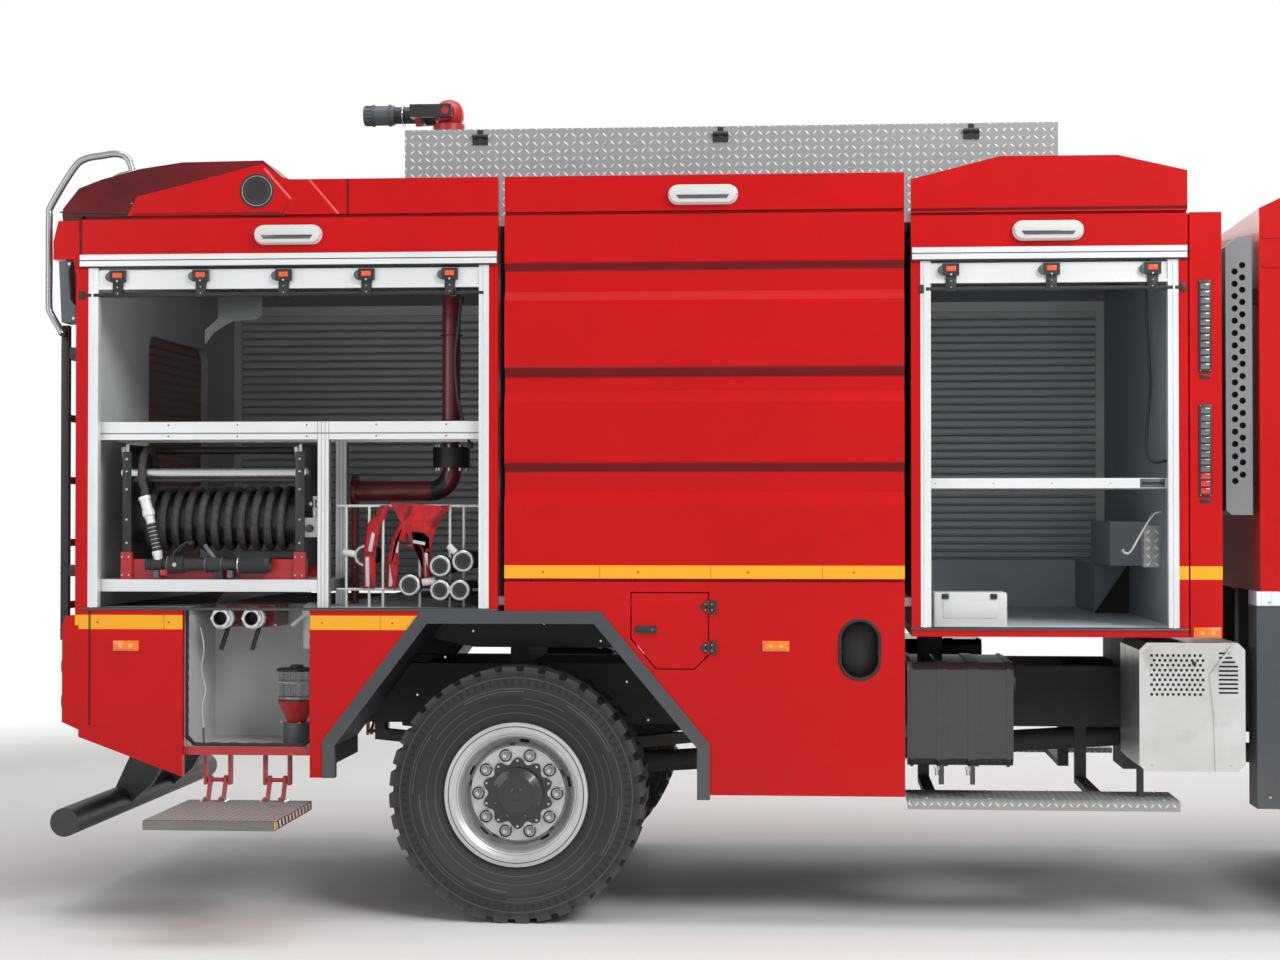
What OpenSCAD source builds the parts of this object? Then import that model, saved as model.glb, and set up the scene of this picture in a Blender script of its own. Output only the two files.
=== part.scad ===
// Airport fire truck, two axles, all-wheel drive, with a three-section equipment body.
// Stations run forward from the rear axle, Y is measured from the centre line and Z from the ground.
// The right side, at minus Y, is the side that the photograph shows.
// The last step, in_frame(), moves everything so that the origin lies under the middle of the overall box.

/* [Overall] */
// Distance between the axles
wheelbase = 4050; // [3950:10:4150]
// Width over the body's side panels
body_w = 2500; // [2480:10:2520]
// Height of the body's top edge
body_top = 3145; // [3120:5:3180]

/* [Wheels] */
// Radius of the tyre at its lugs
tyre_r = 540; // [530:1:545]
// Width of the tyre's section
tyre_w = 365; // [350:5:370]
// Height of a tread lug
lug_h = 18; // [10:1:20]
// Number of tread lugs round each shoulder
lug_count = 36; // [24:2:40]
// Radius of the rim's flange
rim_r = 304; // [300:1:308]
// Distance from the centre line to the tyre's outer wall
wheel_out = 1225; // [1215:5:1235]
// Length of a tread lug round the tyre
lug_len = 58; // [40:1:64]
// Radius of the hub cap
hub_r = 110; // [100:1:115]
// Radius of the circle of the wheel nuts
nut_pitch_r = 167.5; // [165:0.5:170]
// Radius of the spindle that carries a wheel
spindle_r = 45; // [38:1:50]
// Running clearance between a pin and its bore
pin_fit = 0.05; // [0.02:0.01:0.1]

/* [Chassis] */
// Width over the two frame rails
rails_w = 770; // [750:10:790]
// Height of a rail's web
rail_h = 270; // [260:5:280]
// Width of a rail's flange
rail_flange = 80; // [70:5:90]
// Thickness of a rail's steel
rail_t = 10; // [8:1:12]
// Height of the rails' underside
rail_z = 770; // [765:5:775]
// Radius of the axle tubes
axle_r = 75; // [68:1:80]
// Radius of the axle's differential bowl
bowl_r = 195; // [180:5:200]
// Distance of a steering pivot from the centre line
king_y = 830; // [820:5:840]
// Radius of a kingpin
king_r = 22; // [18:1:25]
// Radius of the rear underrun bar
underrun_r = 62; // [55:1:68]
// Height of the running boards
board_z = 545; // [535:1:560]

/* [Body sections] */
// Distance from the rear axle back to the body's rear face
rear_overhang = 1872; // [1860:2:1890]
// Length of the rear section
rear_len = 1800; // [1790:2:1810]
// Length of the centre section
centre_len = 1674; // [1660:2:1690]
// Length of the front section
front_len = 1132; // [1120:2:1150]
// Width of the front corner pillar
pillar_w = 130; // [120:2:140]
// Gap between two body sections
section_gap = 28; // [22:1:34]
// Thickness of the side panels
skin = 40; // [36:1:44]
// Thickness of the inner walls and floors
wall = 36; // [28:1:38]
// Height of the joint between the headers and the top strips
seam_z = 2990; // [2985:1:2995]
// Height of the dark joint under the top strips
seam_h = 12; // [8:1:16]
// Height of the drip rail over a shutter
drip_h = 50; // [44:1:54]
// Underside of the drip rails
drip_z = 2780; // [2770:1:2790]
// Width of a shutter's guide
guide_w = 43; // [38:1:48]
// Width of the red edge beside a shutter's guide
edge_w = 38; // [34:1:42]
// Sill height of the rear shutter
rear_sill = 1325; // [1322:1:1330]
// Sill height of the front shutter
front_sill = 1252; // [1248:1:1256]
// Underside of the centre section's lower panel
centre_under = 552; // [540:1:570]
// Underside of the rear section's lower panels
rear_under = 610; // [600:1:615]
// Height at which the rear section's lower corner starts to slope
corner_z = 775; // [760:1:790]

/* [Wheel arch] */
// Rear end of the rear wheel arch
arch_x0 = -817; // [-825:1:-810]
// Front end of the rear wheel arch
arch_x1 = 820; // [810:1:830]
// Rear end of the arch's flat top
arch_t0 = -397; // [-410:1:-385]
// Front end of the arch's flat top
arch_t1 = 362; // [350:1:375]
// Height of the arch's flat top
arch_top = 1316; // [1310:1:1320]
// Height at which the arch's sides start to lean in
arch_knee = 765; // [750:1:780]
// Width of the arch's trim
trim_w = 53; // [45:1:58]
// Distance by which the trim stands out of the panels
trim_out = 8; // [5:1:12]

/* [Centre ribs] */
// Depth of the clapboard steps in the centre panel
rib_depth = 22; // [16:1:26]
// Height of the lower joint, under the yellow strip
waist_z = 1446; // [1440:1:1452]
// Height of the yellow strip
strip_h = 54; // [46:1:60]

/* [Pump pocket and platform] */
// Rear end of the low pocket
pocket_x0 = -1421; // [-1426:1:-1416]
// Width of the low pocket
pocket_w = 549; // [540:1:554]
// Floor of the low pocket
pocket_floor = 735; // [725:1:745]
// Depth of the low pocket
pocket_deep = 560; // [540:5:580]
// Clearance round the platform when it is folded up
flap_gap = 8; // [6:1:10]
// Thickness of the platform
flap_t = 38; // [34:1:42]
// Length of the platform
flap_len = 680; // [660:5:685]
// Distance of the platform's pivot from the centre line
flap_pivot_y = 1130; // [1126:1:1134]
// Height of the platform's pivot
flap_pivot_z = 585; // [580:1:590]
// Radius of the platform's hinge pins
flap_pin_r = 9; // [8:0.5:10]

/* [Centre hatch] */
// Rear edge of the small hatch
hatch_x0 = 488; // [480:1:500]
// Width of the small hatch
hatch_w = 330; // [320:2:336]
// Underside of the small hatch
hatch_z0 = 1074; // [1070:1:1080]
// Height of the small hatch
hatch_h = 324; // [310:2:330]
// Gap round the hatch
hatch_gap = 5; // [5:0.5:7]

/* [Roof] */
// Height of the roof deck
deck_z = 2978; // [2974:1:2980]
// Rear end of the roof locker
locker_x0 = -541; // [-560:1:-530]
// Length of the roof locker
locker_len = 2846; // [2800:2:2880]
// Distance from the centre line to the locker's outer side
locker_out = 850; // [840:5:860]
// Width of the roof locker
locker_w = 560; // [540:10:580]
// Height of the roof locker with its lid
locker_h = 437; // [422:5:452]
// Height of the locker's lid
lid_h = 34; // [30:1:40]
// Thickness of the locker's sheet
sheet = 14; // [12:1:16]
// Station of the roof monitor's riser
monitor_x = -480; // [-500:5:-470]
// Height of the monitor's pivot
monitor_z = 3630; // [3610:5:3650]

/* [Cab] */
// Gap between the body's front pillar and the cab
cab_gap = 158; // [150:2:170]
// Distance from the front axle to the cab's front
cab_overhang = 1440; // [1420:10:1460]
// Width of the cab
cab_w = 2440; // [2420:10:2460]
// Top of the cab's roof
cab_top = 3140; // [3120:10:3160]
// Underside of the cab's painted sides
cab_low = 1405; // [1400:5:1410]
// Thickness of the cab's walls and doors
cab_wall = 44; // [40:1:48]
// Gap round the cab's doors
door_gap = 7; // [6:0.5:9]
// Thickness of the glass
glass_t = 8; // [6:0.5:10]
// Radius of the front wheel arches
front_arch_r = 700; // [690:5:710]

/* [Hidden] */
$fn = 48;
eps = 0.3;
side_y = body_w / 2;
skin_y = side_y - skin;
x_rear0 = -rear_overhang;
x_rear1 = x_rear0 + rear_len;
x_mid0 = x_rear1 + section_gap;
x_mid1 = x_mid0 + centre_len;
x_front0 = x_mid1 + section_gap;
x_front1 = x_front0 + front_len;
x_pillar0 = x_front1 + 7;
x_pillar1 = x_pillar0 + pillar_w;
x_cab0 = x_pillar1 + cab_gap;
x_cab1 = wheelbase + cab_overhang;
rail_top = rail_z + rail_h;
rails_y = rails_w / 2;
header_z = drip_z + drip_h;
strip_z = seam_z + seam_h / 2;
front_under = front_sill - wall;
box_x0 = x_front1 - 200;
box_x1 = x_front1 + 229;
pocket_x1 = pocket_x0 + pocket_w;
wheel_y = wheel_out - tyre_w / 2;
tread_r = tyre_r - lug_h;
bead_r = 256;
bead_w = 292;
hub_in = 120;
cab_y = cab_w / 2;
cab_top_rear = 2985;
locker_top = deck_z + locker_h;
mid_floor = rear_sill + 15;
rack_y = 1090;
wire_r = 6;
intake_z0 = 1720;
intake_z1 = 2870;
door_x0 = wheelbase + 260;
door_x1 = door_x0 + 900;
door_z0 = cab_low + 45;
door_z1 = 2800;
window_z0 = 2060;
window_z1 = 2690;
hatch_x1 = hatch_x0 + hatch_w;
hatch_z1 = hatch_z0 + hatch_h;
flap_in = 40;
flap_under = flap_pivot_z - side_y + flap_pivot_y;
flap_reach = flap_pivot_y + flap_in + flap_len;
rear_reach = 2045;
bumper_x = x_cab1 + 60;
rail_x1 = bumper_x - 50;
rear_y0 = -350;
rear_y1 = 690;
rear_z0 = rear_sill + 120;
rear_z1 = 2560;
rung_pitch = 270;
drum_r = 106;
reel_y = -970;
reel_z = 1706;
nozzle_z = 1508;
slat_h = 40;
beacon_x = 4560;
tow_bore_r = 20.5;
outlet_r = 28.3;
outlet_z = 1275;
door_hinge_r = 14;
hatch_hinge_r = 8;
lid_hinge_r = 10;
mirror_reach = 1470;
frame_x = (rear_reach - bumper_x) / 2;
frame_y = (flap_reach - mirror_reach) / 2;

// The two openings with roller shutters: rear end, front end, sill height
OP_X0 = 0;
OP_X1 = 1;
OP_SILL = 2;
OPENINGS = [
  [x_rear0, x_rear1, rear_sill],
  [x_front0, x_front1, front_sill]
];

// Black brackets on the rolled-up shutters' bottom rails: rear end of the section, distance from it
CATCHES = [[x_rear0, 167], [x_rear0, 527], [x_rear0, 885], [x_rear0, 1240], [x_rear0, 1596],
  [x_front0, 164], [x_front0, 577], [x_front0, 989]];

// Stiles of the rear ladder: distance from the centre line
LADDER_Y = [-1120, -740];

// Handrail loops: distance from the centre line, foot, and the ends of the link to the stile
RAILS = [[-1180, 3187.8, -1180, -1110], [-680, deck_z, -750, -680]];

// Outlets in the low pocket: station
OUTLETS = [-1294, -1158];

// Hinges of the cab doors: height
DOOR_HINGES = [1560, 1960];

// Hinges of the small hatch: height
HATCH_HINGES = [hatch_z0 + 92, hatch_z1 - 62];

// Hinges of the locker's lid: station
LID_HINGES = [-206, 850, 1934];

// Hinges of the folding platform: station
FLAP_HINGES = [-1295, -1037];

// Scene lights: station, height
LIGHTS = [[-968, 2909], [793, 3061], [2221, 2897]];

// Side markers: station, height
MARKERS = [[-1665, 1164], [1096, 1174], [2864, 1236]];

// Suction hoses in the rack: station, height, radius of the coupling, distance of its mouth from the centre line
HOSES = [[-670, 1545, 43, 1090], [-458, 1422, 42, 1184], [-229, 1524, 43, 1184], [-327, 1503, 42, 1184],
  [-327, 1401, 40, 1184], [-243, 1401, 40, 1184]];

// Strap bags in the rack: outline of each in side view
BAGS = [
  [[-672, 1410], [-618, 1410], [-622, 1549], [-597, 1677], [-570, 1725], [-560, 1762], [-598, 1762],
    [-625, 1714], [-657, 1677], [-672, 1560]],
  [[-571, 1408], [-527, 1408], [-521, 1495], [-514, 1608], [-484, 1608], [-473, 1672], [-457, 1690],
    [-435, 1762], [-468, 1762], [-511, 1688], [-543, 1629], [-570, 1517]],
  [[-408, 1412], [-376, 1412], [-380, 1560], [-372, 1618], [-345, 1680], [-298, 1762], [-336, 1762],
    [-390, 1650], [-465, 1661], [-465, 1586], [-422, 1576]]
];

// Barrel of the monitor, from its mouth: rear end, front end, radius
BARREL = [[-888, -742, 47], [-743, -634, 40], [-640, monitor_x - 130, 54], [-850, -838, 52], [-770, -758, 52]];

// Puts the truck into the row's frame
module in_frame() {
  translate([frame_x, frame_y, 0])
    children();
}

// Gives a piece of the right side its twin on the left side
module both() {
  children();
  mirror([0, 1, 0])
    children();
}

// Turns a side drawing into a slab between two distances from the centre line, on the right side
module slab(inner, outer) {
  translate([0, -inner, 0])
    rotate([90, 0, 0])
      linear_extrude(outer - inner)
        children();
}

// Rectangle in a side drawing
module rect(x0, x1, z0, z1) {
  translate([x0, z0])
    square([x1 - x0, z1 - z0]);
}

// Box between two stations, two Y values and two heights
module box(x0, x1, y0, y1, z0, z1) {
  translate([x0, y0, z0])
    cube([x1 - x0, y1 - y0, z1 - z0]);
}

// Round bar along X
module bar_x(x0, x1, y, z, r) {
  translate([x0, y, z])
    rotate([0, 90, 0])
      cylinder(h = x1 - x0, r = r);
}

// Round bar along Y
module bar_y(y0, y1, x, z, r) {
  translate([x, y1, z])
    rotate([90, 0, 0])
      cylinder(h = y1 - y0, r = r);
}

// Round bar along Z
module bar_z(z0, z1, x, y, r) {
  translate([x, y, z0])
    cylinder(h = z1 - z0, r = r);
}

// Round bar between two points
module bar_to(a, b, r) {
  d = b - a;
  translate(a)
    rotate([0, acos(d[2] / norm(d)), atan2(d[1], d[0])])
      cylinder(h = norm(d), r = r);
}

// Bent tube through a list of points, with a slightly thicker ball at each bend
module tube_path(points, r) {
  for (i = [0:len(points) - 2])
    bar_to(points[i], points[i + 1], r);
  for (i = [1:len(points) - 2])
    translate(points[i])
      sphere(r = r + 1, $fn = 24);
}

// Outline of the rear wheel arch, moved inwards by d
function arch(d) = [
  [arch_x0 + d, 300],
  [arch_x0 + d, arch_knee - 0.34 * d],
  [arch_t0 + 0.49 * d, arch_top - d],
  [arch_t1 - 0.49 * d, arch_top - d],
  [arch_x1 - d, arch_knee - 0.34 * d],
  [arch_x1 - d, 300]
];

// Frame: two C rails with their cross members, the rear towing jaw and the mounts of the cab
module frame_rails() {
  color("dimgray")
    union() {
      both() {
        translate([x_rear0 + 30, 0, 0])
          rotate([90, 0, 90])
            linear_extrude(rail_x1 - x_rear0 - 30)
              polygon([
                [-rails_y, rail_z],
                [-rails_y + rail_flange, rail_z],
                [-rails_y + rail_flange, rail_z + rail_t],
                [-rails_y + rail_t, rail_z + rail_t],
                [-rails_y + rail_t, rail_top - rail_t],
                [-rails_y + rail_flange, rail_top - rail_t],
                [-rails_y + rail_flange, rail_top],
                [-rails_y, rail_top]
              ]);
        for (x = [x_cab0 + 60, x_cab1 - 330])
          box(x, x + 90, -rails_y, -rails_y + 90, rail_top + eps, cab_low);
      }
      for (x = [x_rear0 + 60, -620, 620, wheelbase - 2150, wheelbase - 1600, rail_x1 - 80])
        box(x, x + 80, -rails_y + rail_t + eps, rails_y - rail_t - eps, rail_top - 150, rail_top - 30);
      tow_jaw();
    }
}

// Leaf spring pack with its hangers, at one axle's right side
module leaf_spring(x) {
  slab(rails_y - 75, rails_y)
    difference() {
      union() {
        polygon([[x - 760, rail_z], [x - 760, 690], [x - 240, 640], [x + 240, 640],
          [x + 760, 690], [x + 760, rail_z]]);
        rect(x - 80, x + 80, tyre_r + 20, 660);
      }
      polygon([[x - 715, rail_z + 1], [x - 715, 735], [x - 240, 690], [x + 240, 690],
        [x + 715, 735], [x + 715, rail_z + 1]]);
    }
}

// Both axles with their springs; the front one ends in the bosses of the kingpins
module axles() {
  color("#26282b")
    union() {
      for (x = [0, wheelbase]) {
        bar_y(-640, 640, x, tyre_r, axle_r);
        bar_y(-60, 60, x, tyre_r, bowl_r);
        both()
          translate([x, -60, tyre_r])
            rotate([90, 0, 0])
              cylinder(h = 120, r1 = bowl_r, r2 = axle_r + 10);
        both()
          leaf_spring(x);
      }
      both() {
        bar_y(-wheel_y + hub_in + 10, -600, 0, tyre_r, axle_r);
        bar_y(-wheel_y + hub_in + 10, -wheel_y + hub_in + 40, 0, tyre_r, 150);
        bar_y(-wheel_y - 40, -wheel_y + hub_in + 20, 0, tyre_r, spindle_r);
        difference() {
          union() {
            bar_y(-king_y, -600, wheelbase, tyre_r, 52);
            bar_z(tyre_r - 62, tyre_r + 62, wheelbase, -king_y, 56);
          }
          bar_z(tyre_r - 80, tyre_r + 80, wheelbase, -king_y, king_r + pin_fit);
        }
      }
    }
}

// Steering knuckle of the right side, with its kingpin and its spindle
module knuckle_shape() {
  color("#303236")
    union() {
      bar_z(tyre_r - 108, tyre_r + 108, wheelbase, -king_y, king_r);
      for (z = [tyre_r + 68, tyre_r - 108])
        difference() {
          union() {
            bar_z(z, z + 40, wheelbase, -king_y, 52);
            box(wheelbase - 52, wheelbase + 52, -king_y - 90, -king_y, z, z + 40);
          }
        }
      box(wheelbase - 70, wheelbase + 70, -wheel_y + hub_in + 6, -king_y - 62,
        tyre_r - 108, tyre_r + 108);
      bar_y(-wheel_y - 40, -king_y - 70, wheelbase, tyre_r, spindle_r);
    }
}

module knuckle_right() {
  knuckle_shape();
}

module knuckle_left() {
  mirror([0, 1, 0])
    knuckle_shape();
}

// Tyre of the right side about its own axis, its outer wall towards plus Z
module tyre_shape() {
  shoulder = tyre_w / 2 - 13;
  color("#1c1c1c")
    union() {
      rotate_extrude($fn = 72)
        polygon([
          [bead_r + eps, -bead_w / 2 + eps],
          [rim_r + 3, -bead_w / 2 + eps],
          [rim_r + 116, -tyre_w / 2],
          [tread_r - 12, -shoulder + 4],
          [tread_r - 12, shoulder - 4],
          [rim_r + 116, tyre_w / 2],
          [rim_r + 3, bead_w / 2 - eps],
          [bead_r + eps, bead_w / 2 - eps]
        ]);
      // Lugs of both halves of the tread, half a pitch apart
      for (s = [0, 1])
        mirror([0, 0, s])
          rotate([0, 0, s * 180 / lug_count])
            linear_extrude(shoulder)
              difference() {
                polygon(tread_outline());
                circle(r = tread_r - 30, $fn = 72);
              }
    }
}

// Rim, disc and hub of the right side about their own axis
module wheel_shape() {
  color("silver")
    difference() {
      union() {
        rotate_extrude($fn = 72)
          polygon([
            [bead_r - 18, -bead_w / 2 - 10],
            [rim_r, -bead_w / 2 - 10],
            [rim_r, -bead_w / 2],
            [bead_r, -bead_w / 2],
            [bead_r, bead_w / 2],
            [rim_r, bead_w / 2],
            [rim_r, bead_w / 2 + 18],
            [rim_r - 12, bead_w / 2 + 20],
            [268, bead_w / 2 + 14],
            [248, bead_w / 2 + 2],
            [240, 130],
            [232, 66],
            [218, 52],
            [200, 92],
            [120, 92],
            [120, 76],
            [188, 76],
            [206, 34],
            [bead_r - 18, 30]
          ]);
        translate([0, 0, -hub_in])
          cylinder(h = hub_in + 92, r = 124);
        // Hub flange with a lobe under each nut
        translate([0, 0, 91]) {
          cylinder(h = 12, r = 132);
          for (i = [0:9])
            rotate([0, 0, i * 36]) {
              translate([nut_pitch_r, 0, 0])
                cylinder(h = 12, r = 24, $fn = 24);
              translate([120, -15, 0])
                cube([nut_pitch_r - 120, 30, 12]);
              translate([nut_pitch_r, 0, 0])
                cylinder(h = 34, r = 17, $fn = 6);
            }
          cylinder(h = 40, r = hub_r);
          translate([0, 0, 39])
            cylinder(h = 16, r1 = hub_r, r2 = hub_r - 34);
        }
      }
      translate([0, 0, -hub_in - 1])
        cylinder(h = hub_in + 52, r = spindle_r + pin_fit);
      // Slots in the ring round the disc
      for (i = [0:4])
        rotate([0, 0, i * 72 + 12])
          translate([216, 0, 30])
            cube([20, 42, 80], center = true);
    }
}

// Places a piece of a wheel at one axle, right side
module at_wheel(x) {
  translate([x, -wheel_y, tyre_r])
    rotate([90, 0, 0])
      children();
}

module tyre_front_right() {
  at_wheel(wheelbase)
    tyre_shape();
}

module tyre_front_left() {
  mirror([0, 1, 0])
    at_wheel(wheelbase)
      tyre_shape();
}

module tyre_rear_right() {
  at_wheel(0)
    tyre_shape();
}

module tyre_rear_left() {
  mirror([0, 1, 0])
    at_wheel(0)
      tyre_shape();
}

module wheel_front_right() {
  at_wheel(wheelbase)
    wheel_shape();
}

module wheel_front_left() {
  mirror([0, 1, 0])
    at_wheel(wheelbase)
      wheel_shape();
}

module wheel_rear_right() {
  at_wheel(0)
    wheel_shape();
}

module wheel_rear_left() {
  mirror([0, 1, 0])
    at_wheel(0)
      wheel_shape();
}

// Engine block, gearbox, transfer case and the shafts to both axles
module engine() {
  color("#3a3d40")
    union() {
      box(wheelbase + 260, x_cab1 - 260, -280, 280, 650, 1300);
      box(wheelbase - 560, wheelbase + 270, -200, 200, 800, 1240);
      bar_x(2960, wheelbase - 550, 0, 960, 45);
      box(2660, 2980, -180, 180, 560, 1030);
      bar_to([bowl_r + 2, 0, tyre_r], [2670, 0, 700], 50);
      bar_to([2970, 0, 660], [wheelbase - bowl_r - 2, 0, tyre_r], 45);
      for (y = [-rails_y + rail_t, 170])
        box(2760, 2880, y, y + rails_y - rail_t - 170, 900, 960);
      for (y = [-rails_y + rail_t, 270])
        box(wheelbase + 600, wheelbase + 720, y, y + rails_y - rail_t - 270, 860, 930);
    }
}

// Fuel tanks on both sides, with their end lips, straps and brackets
module fuel_tanks() {
  color("#1f2022")
    both()
      union() {
        for (t = [[-18, 437, 0], [-6, 14, 6], [392, 14, 6]])
          translate([x_front0 + t[0], 0, 0])
            rotate([90, 0, 90])
              linear_extrude(t[1])
                tank_area(t[2]);
        for (x = [x_front0 + 104, x_front0 + 232]) {
          translate([x, 0, 0])
            rotate([90, 0, 90])
              linear_extrude(46)
                tank_area(5);
          box(x + 10, x + 30, -1205, -1165, 600, 681);
        }
        for (x = [x_front0 + 122, x_front0 + 312])
          box(x, x + 46, -612, -rails_y, 800, 1000);
      }
}

// Exhaust box of the right side, with its perforated field, its louvres and its brackets
module exhaust_box() {
  color("#c9cccd")
    union() {
      difference() {
        slab(640, 1236)
          polygon([[box_x0, 690], [box_x0 + 25, 665], [box_x1 - 29, 665], [box_x1, 694], [box_x1, 1165],
            [box_x1 - 29, 1194], [box_x0 + 30, 1194], [box_x0, 1164]]);
        for (i = [0:9], j = [0:8])
          translate([box_x0 + 44 + i * 22 + j % 2 * 11, 0, 976 + j * 20])
            slab(1220, 1240)
              square(11);
        for (j = [0:9])
          slab(1220, 1240)
            rect(box_x0 + 322, box_x1 - 29 - (j > 6 ? (j - 6) * 12 : 0), 985 + j * 18, 993 + j * 18);
      }
      translate([box_x0, 0, 0])
        slab(1230, 1246)
          polygon([[318, 670], [312, 900], [295, 1060], [385, 1188], [374, 1188], [282, 1062],
            [300, 900], [306, 670]]);
      for (x = [box_x0 + 50, box_x0 + 310])
        box(x, x + 46, -642, -rails_y, 820, 1000);
    }
}

// Treaded running boards of both sides, hung from the rails
module running_boards() {
  color("#aab0b3")
    both()
      union() {
        slab(side_y - 320, side_y)
          rect(x_front0 - 17, x_front1 - 39, board_z - 25, board_z);
        slab(side_y - 26, side_y + 14)
          rect(x_front0 - 17, x_front1 - 39, board_z - 42, board_z - 6);
        for (x = [x_front0 + 62, x_front1 - 370]) {
          box(x, x + 50, -side_y + 290, -rails_y + 40, board_z - 30, board_z - 2);
          box(x, x + 50, -rails_y, -rails_y + 40, board_z - 30, rail_z);
        }
        // Black support of the board's front end
        box(box_x0 + 10, box_x0 + 32, -1120, -1060, board_z - 1, 665 - eps);
      }
}

// Rear underrun bar with its brackets
module underrun_bar() {
  color("#2a2b2d")
    union() {
      bar_y(-1150, 1150, -1965, 397, underrun_r);
      both()
        slab(rails_y - 60, rails_y)
          polygon([[x_rear0 + 40, rail_z], [x_rear0 + 240, rail_z], [x_rear0 + 60, 470],
            [-1940, 360], [-1990, 400], [-1990, 430]]);
    }
}

// Clear width of one shutter opening in its side panel
module opening_area(o, grow = 0) {
  rect(o[OP_X0] + edge_w - grow, o[OP_X1] - edge_w + grow, o[OP_SILL], header_z);
}

// Inner structure of the body, each wall, floor and bearer a plate of its own
module body_structure() {
  color("#d5d8da")
    union() {
      // Rear wall with the rounded opening to the rear pump bay
      difference() {
        box(x_rear0, x_rear0 + wall, -skin_y, skin_y, rear_sill + eps, deck_z - wall);
        translate([x_rear0 - 1, 0, 0])
          rotate([90, 0, 90])
            linear_extrude(wall + 2)
              union() {
                rect(rear_y0, rear_y1, rear_z0, rear_z1 - 80);
                rect(rear_y0 + 80, rear_y1 - 80, rear_z0, rear_z1);
                for (y = [rear_y0 + 80, rear_y1 - 80])
                  translate([y, rear_z1 - 80])
                    circle(r = 80);
              }
      }
      // Bulkheads and front wall
      box(x_rear1 - wall, x_rear1, -skin_y, skin_y, rear_sill + eps, deck_z - wall);
      for (x = [x_front0, x_front1 - wall])
        box(x, x + wall, -skin_y, skin_y, front_sill + eps, deck_z - wall);
      // Floors, the rear one open over the low pockets
      difference() {
        box(x_rear0, x_rear1, -skin_y, skin_y, rear_sill - wall, rear_sill);
        both()
          box(pocket_x0, pocket_x1, -side_y, -side_y + pocket_deep - 20, rear_sill - wall - 1, rear_sill + 1);
      }
      box(x_rear1 + eps, x_front0 - eps, -skin_y, skin_y, mid_floor, mid_floor + wall);
      box(x_front0, x_front1, -skin_y, skin_y, front_under, front_sill);
      // Bearers between the frame rails and the floors: station, top
      for (b = [[x_rear0 + 172, rear_sill - wall], [x_rear0 + 872, rear_sill - wall],
          [x_rear1 - 60, rear_sill - wall], [x_mid0 + 644, mid_floor], [x_mid1 - 230, mid_floor],
          [x_front0 + 92, front_under], [x_front1 - 150, front_under]])
        box(b[0], b[0] + 80, -rails_y, rails_y, rail_top, b[1] - eps);
      // Liners of the low pockets, hung under the floor
      both()
        difference() {
          box(pocket_x0 - 20, pocket_x1 + 20, -skin_y, -side_y + pocket_deep,
            pocket_floor - wall, rear_sill - wall - eps);
          box(pocket_x0, pocket_x1, -side_y, -side_y + pocket_deep - 20, pocket_floor, rear_sill);
        }
      // Low partition and the two boxes in the front bay
      box(x_front0 + wall + eps, x_front1 - wall - eps, 1120, 1160, front_sill + eps, 1490);
      box(x_front1 - 200, x_front1 - wall - eps, 300, 1120 - eps, front_sill + eps, 1490);
      box(x_front1 - 200, x_front1 - wall - eps, -300, 420, 1490 + eps, 1690);
      // Hinge brackets of the platforms, each pair with its pin
      both()
        for (x = FLAP_HINGES) {
          for (d = [-59, 47])
            box(x + d, x + d + 12, -flap_pivot_y - 20, -flap_pivot_y + 22,
              flap_pivot_z - 20, pocket_floor - wall - eps);
          bar_x(x - 56, x + 56, -flap_pivot_y, flap_pivot_z, flap_pin_r);
        }
    }
}

// Painted side panels of the rear section, both sides
module rear_panels() {
  color("#b8151b")
    both()
      union() {
        slab(skin_y, side_y)
          difference() {
            polygon([[x_rear0, seam_z - seam_h / 2], [x_rear0, corner_z], [pocket_x0, rear_under],
              [pocket_x1, rear_under], [x_rear1, rear_under], [x_rear1, seam_z - seam_h / 2]]);
            opening_area(OPENINGS[0]);
            rect(pocket_x0, pocket_x1, 500, rear_sill + 1);
            polygon(arch(0));
          }
        slab(skin_y, side_y)
          rear_strip();
        slab(skin_y, skin_y + 14)
          rect(-1655, x_rear1, seam_z - seam_h, strip_z + 6);
      }
}

// Painted side panels of the centre section, both sides, with the openings of the right side
module centre_panels() {
  color("#b8151b")
    union() {
      difference() {
        both()
          union() {
            slab(skin_y, side_y)
              difference() {
                union() {
                  rect(x_mid0, x_mid1, strip_z, body_top);
                  rect(x_mid0, x_mid1, centre_under, waist_z - 6);
                }
                polygon(arch(0));
              }
            // Clapboard steps between the header and the yellow strip
            translate([x_mid0, 0, 0])
              rotate([90, 0, 90])
                linear_extrude(x_mid1 - x_mid0)
                  polygon([
                    [-skin_y, waist_z + 6], [-side_y, waist_z + 6],
                    [-side_y, 1766], [-side_y + rib_depth, 1816],
                    [-side_y + rib_depth, 1896], [-side_y, 1934],
                    [-side_y, 2193], [-side_y + rib_depth, 2239],
                    [-side_y + rib_depth, 2310], [-side_y, 2352],
                    [-side_y, 2621], [-side_y + rib_depth, 2659],
                    [-side_y + rib_depth, 2738], [-side_y, 2776],
                    [-side_y, seam_z - seam_h / 2], [-skin_y, seam_z - seam_h / 2]
                  ]);
            slab(skin_y, skin_y + 14) {
              rect(x_mid0, x_mid1, seam_z - seam_h, strip_z + 6);
              rect(x_mid0, x_mid1, 1400, waist_z + 20);
            }
          }
        slab(skin_y - 1, side_y + 1) {
          hatch_area(0);
          oval_area(0);
        }
      }
      for (z = HATCH_HINGES)
        at_hinge(hatch_x1 - hatch_gap / 2, side_y, z, hatch_hinge_r)
          hinge_fixed(56, hatch_hinge_r, 3.5, 34);
    }
}

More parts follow.
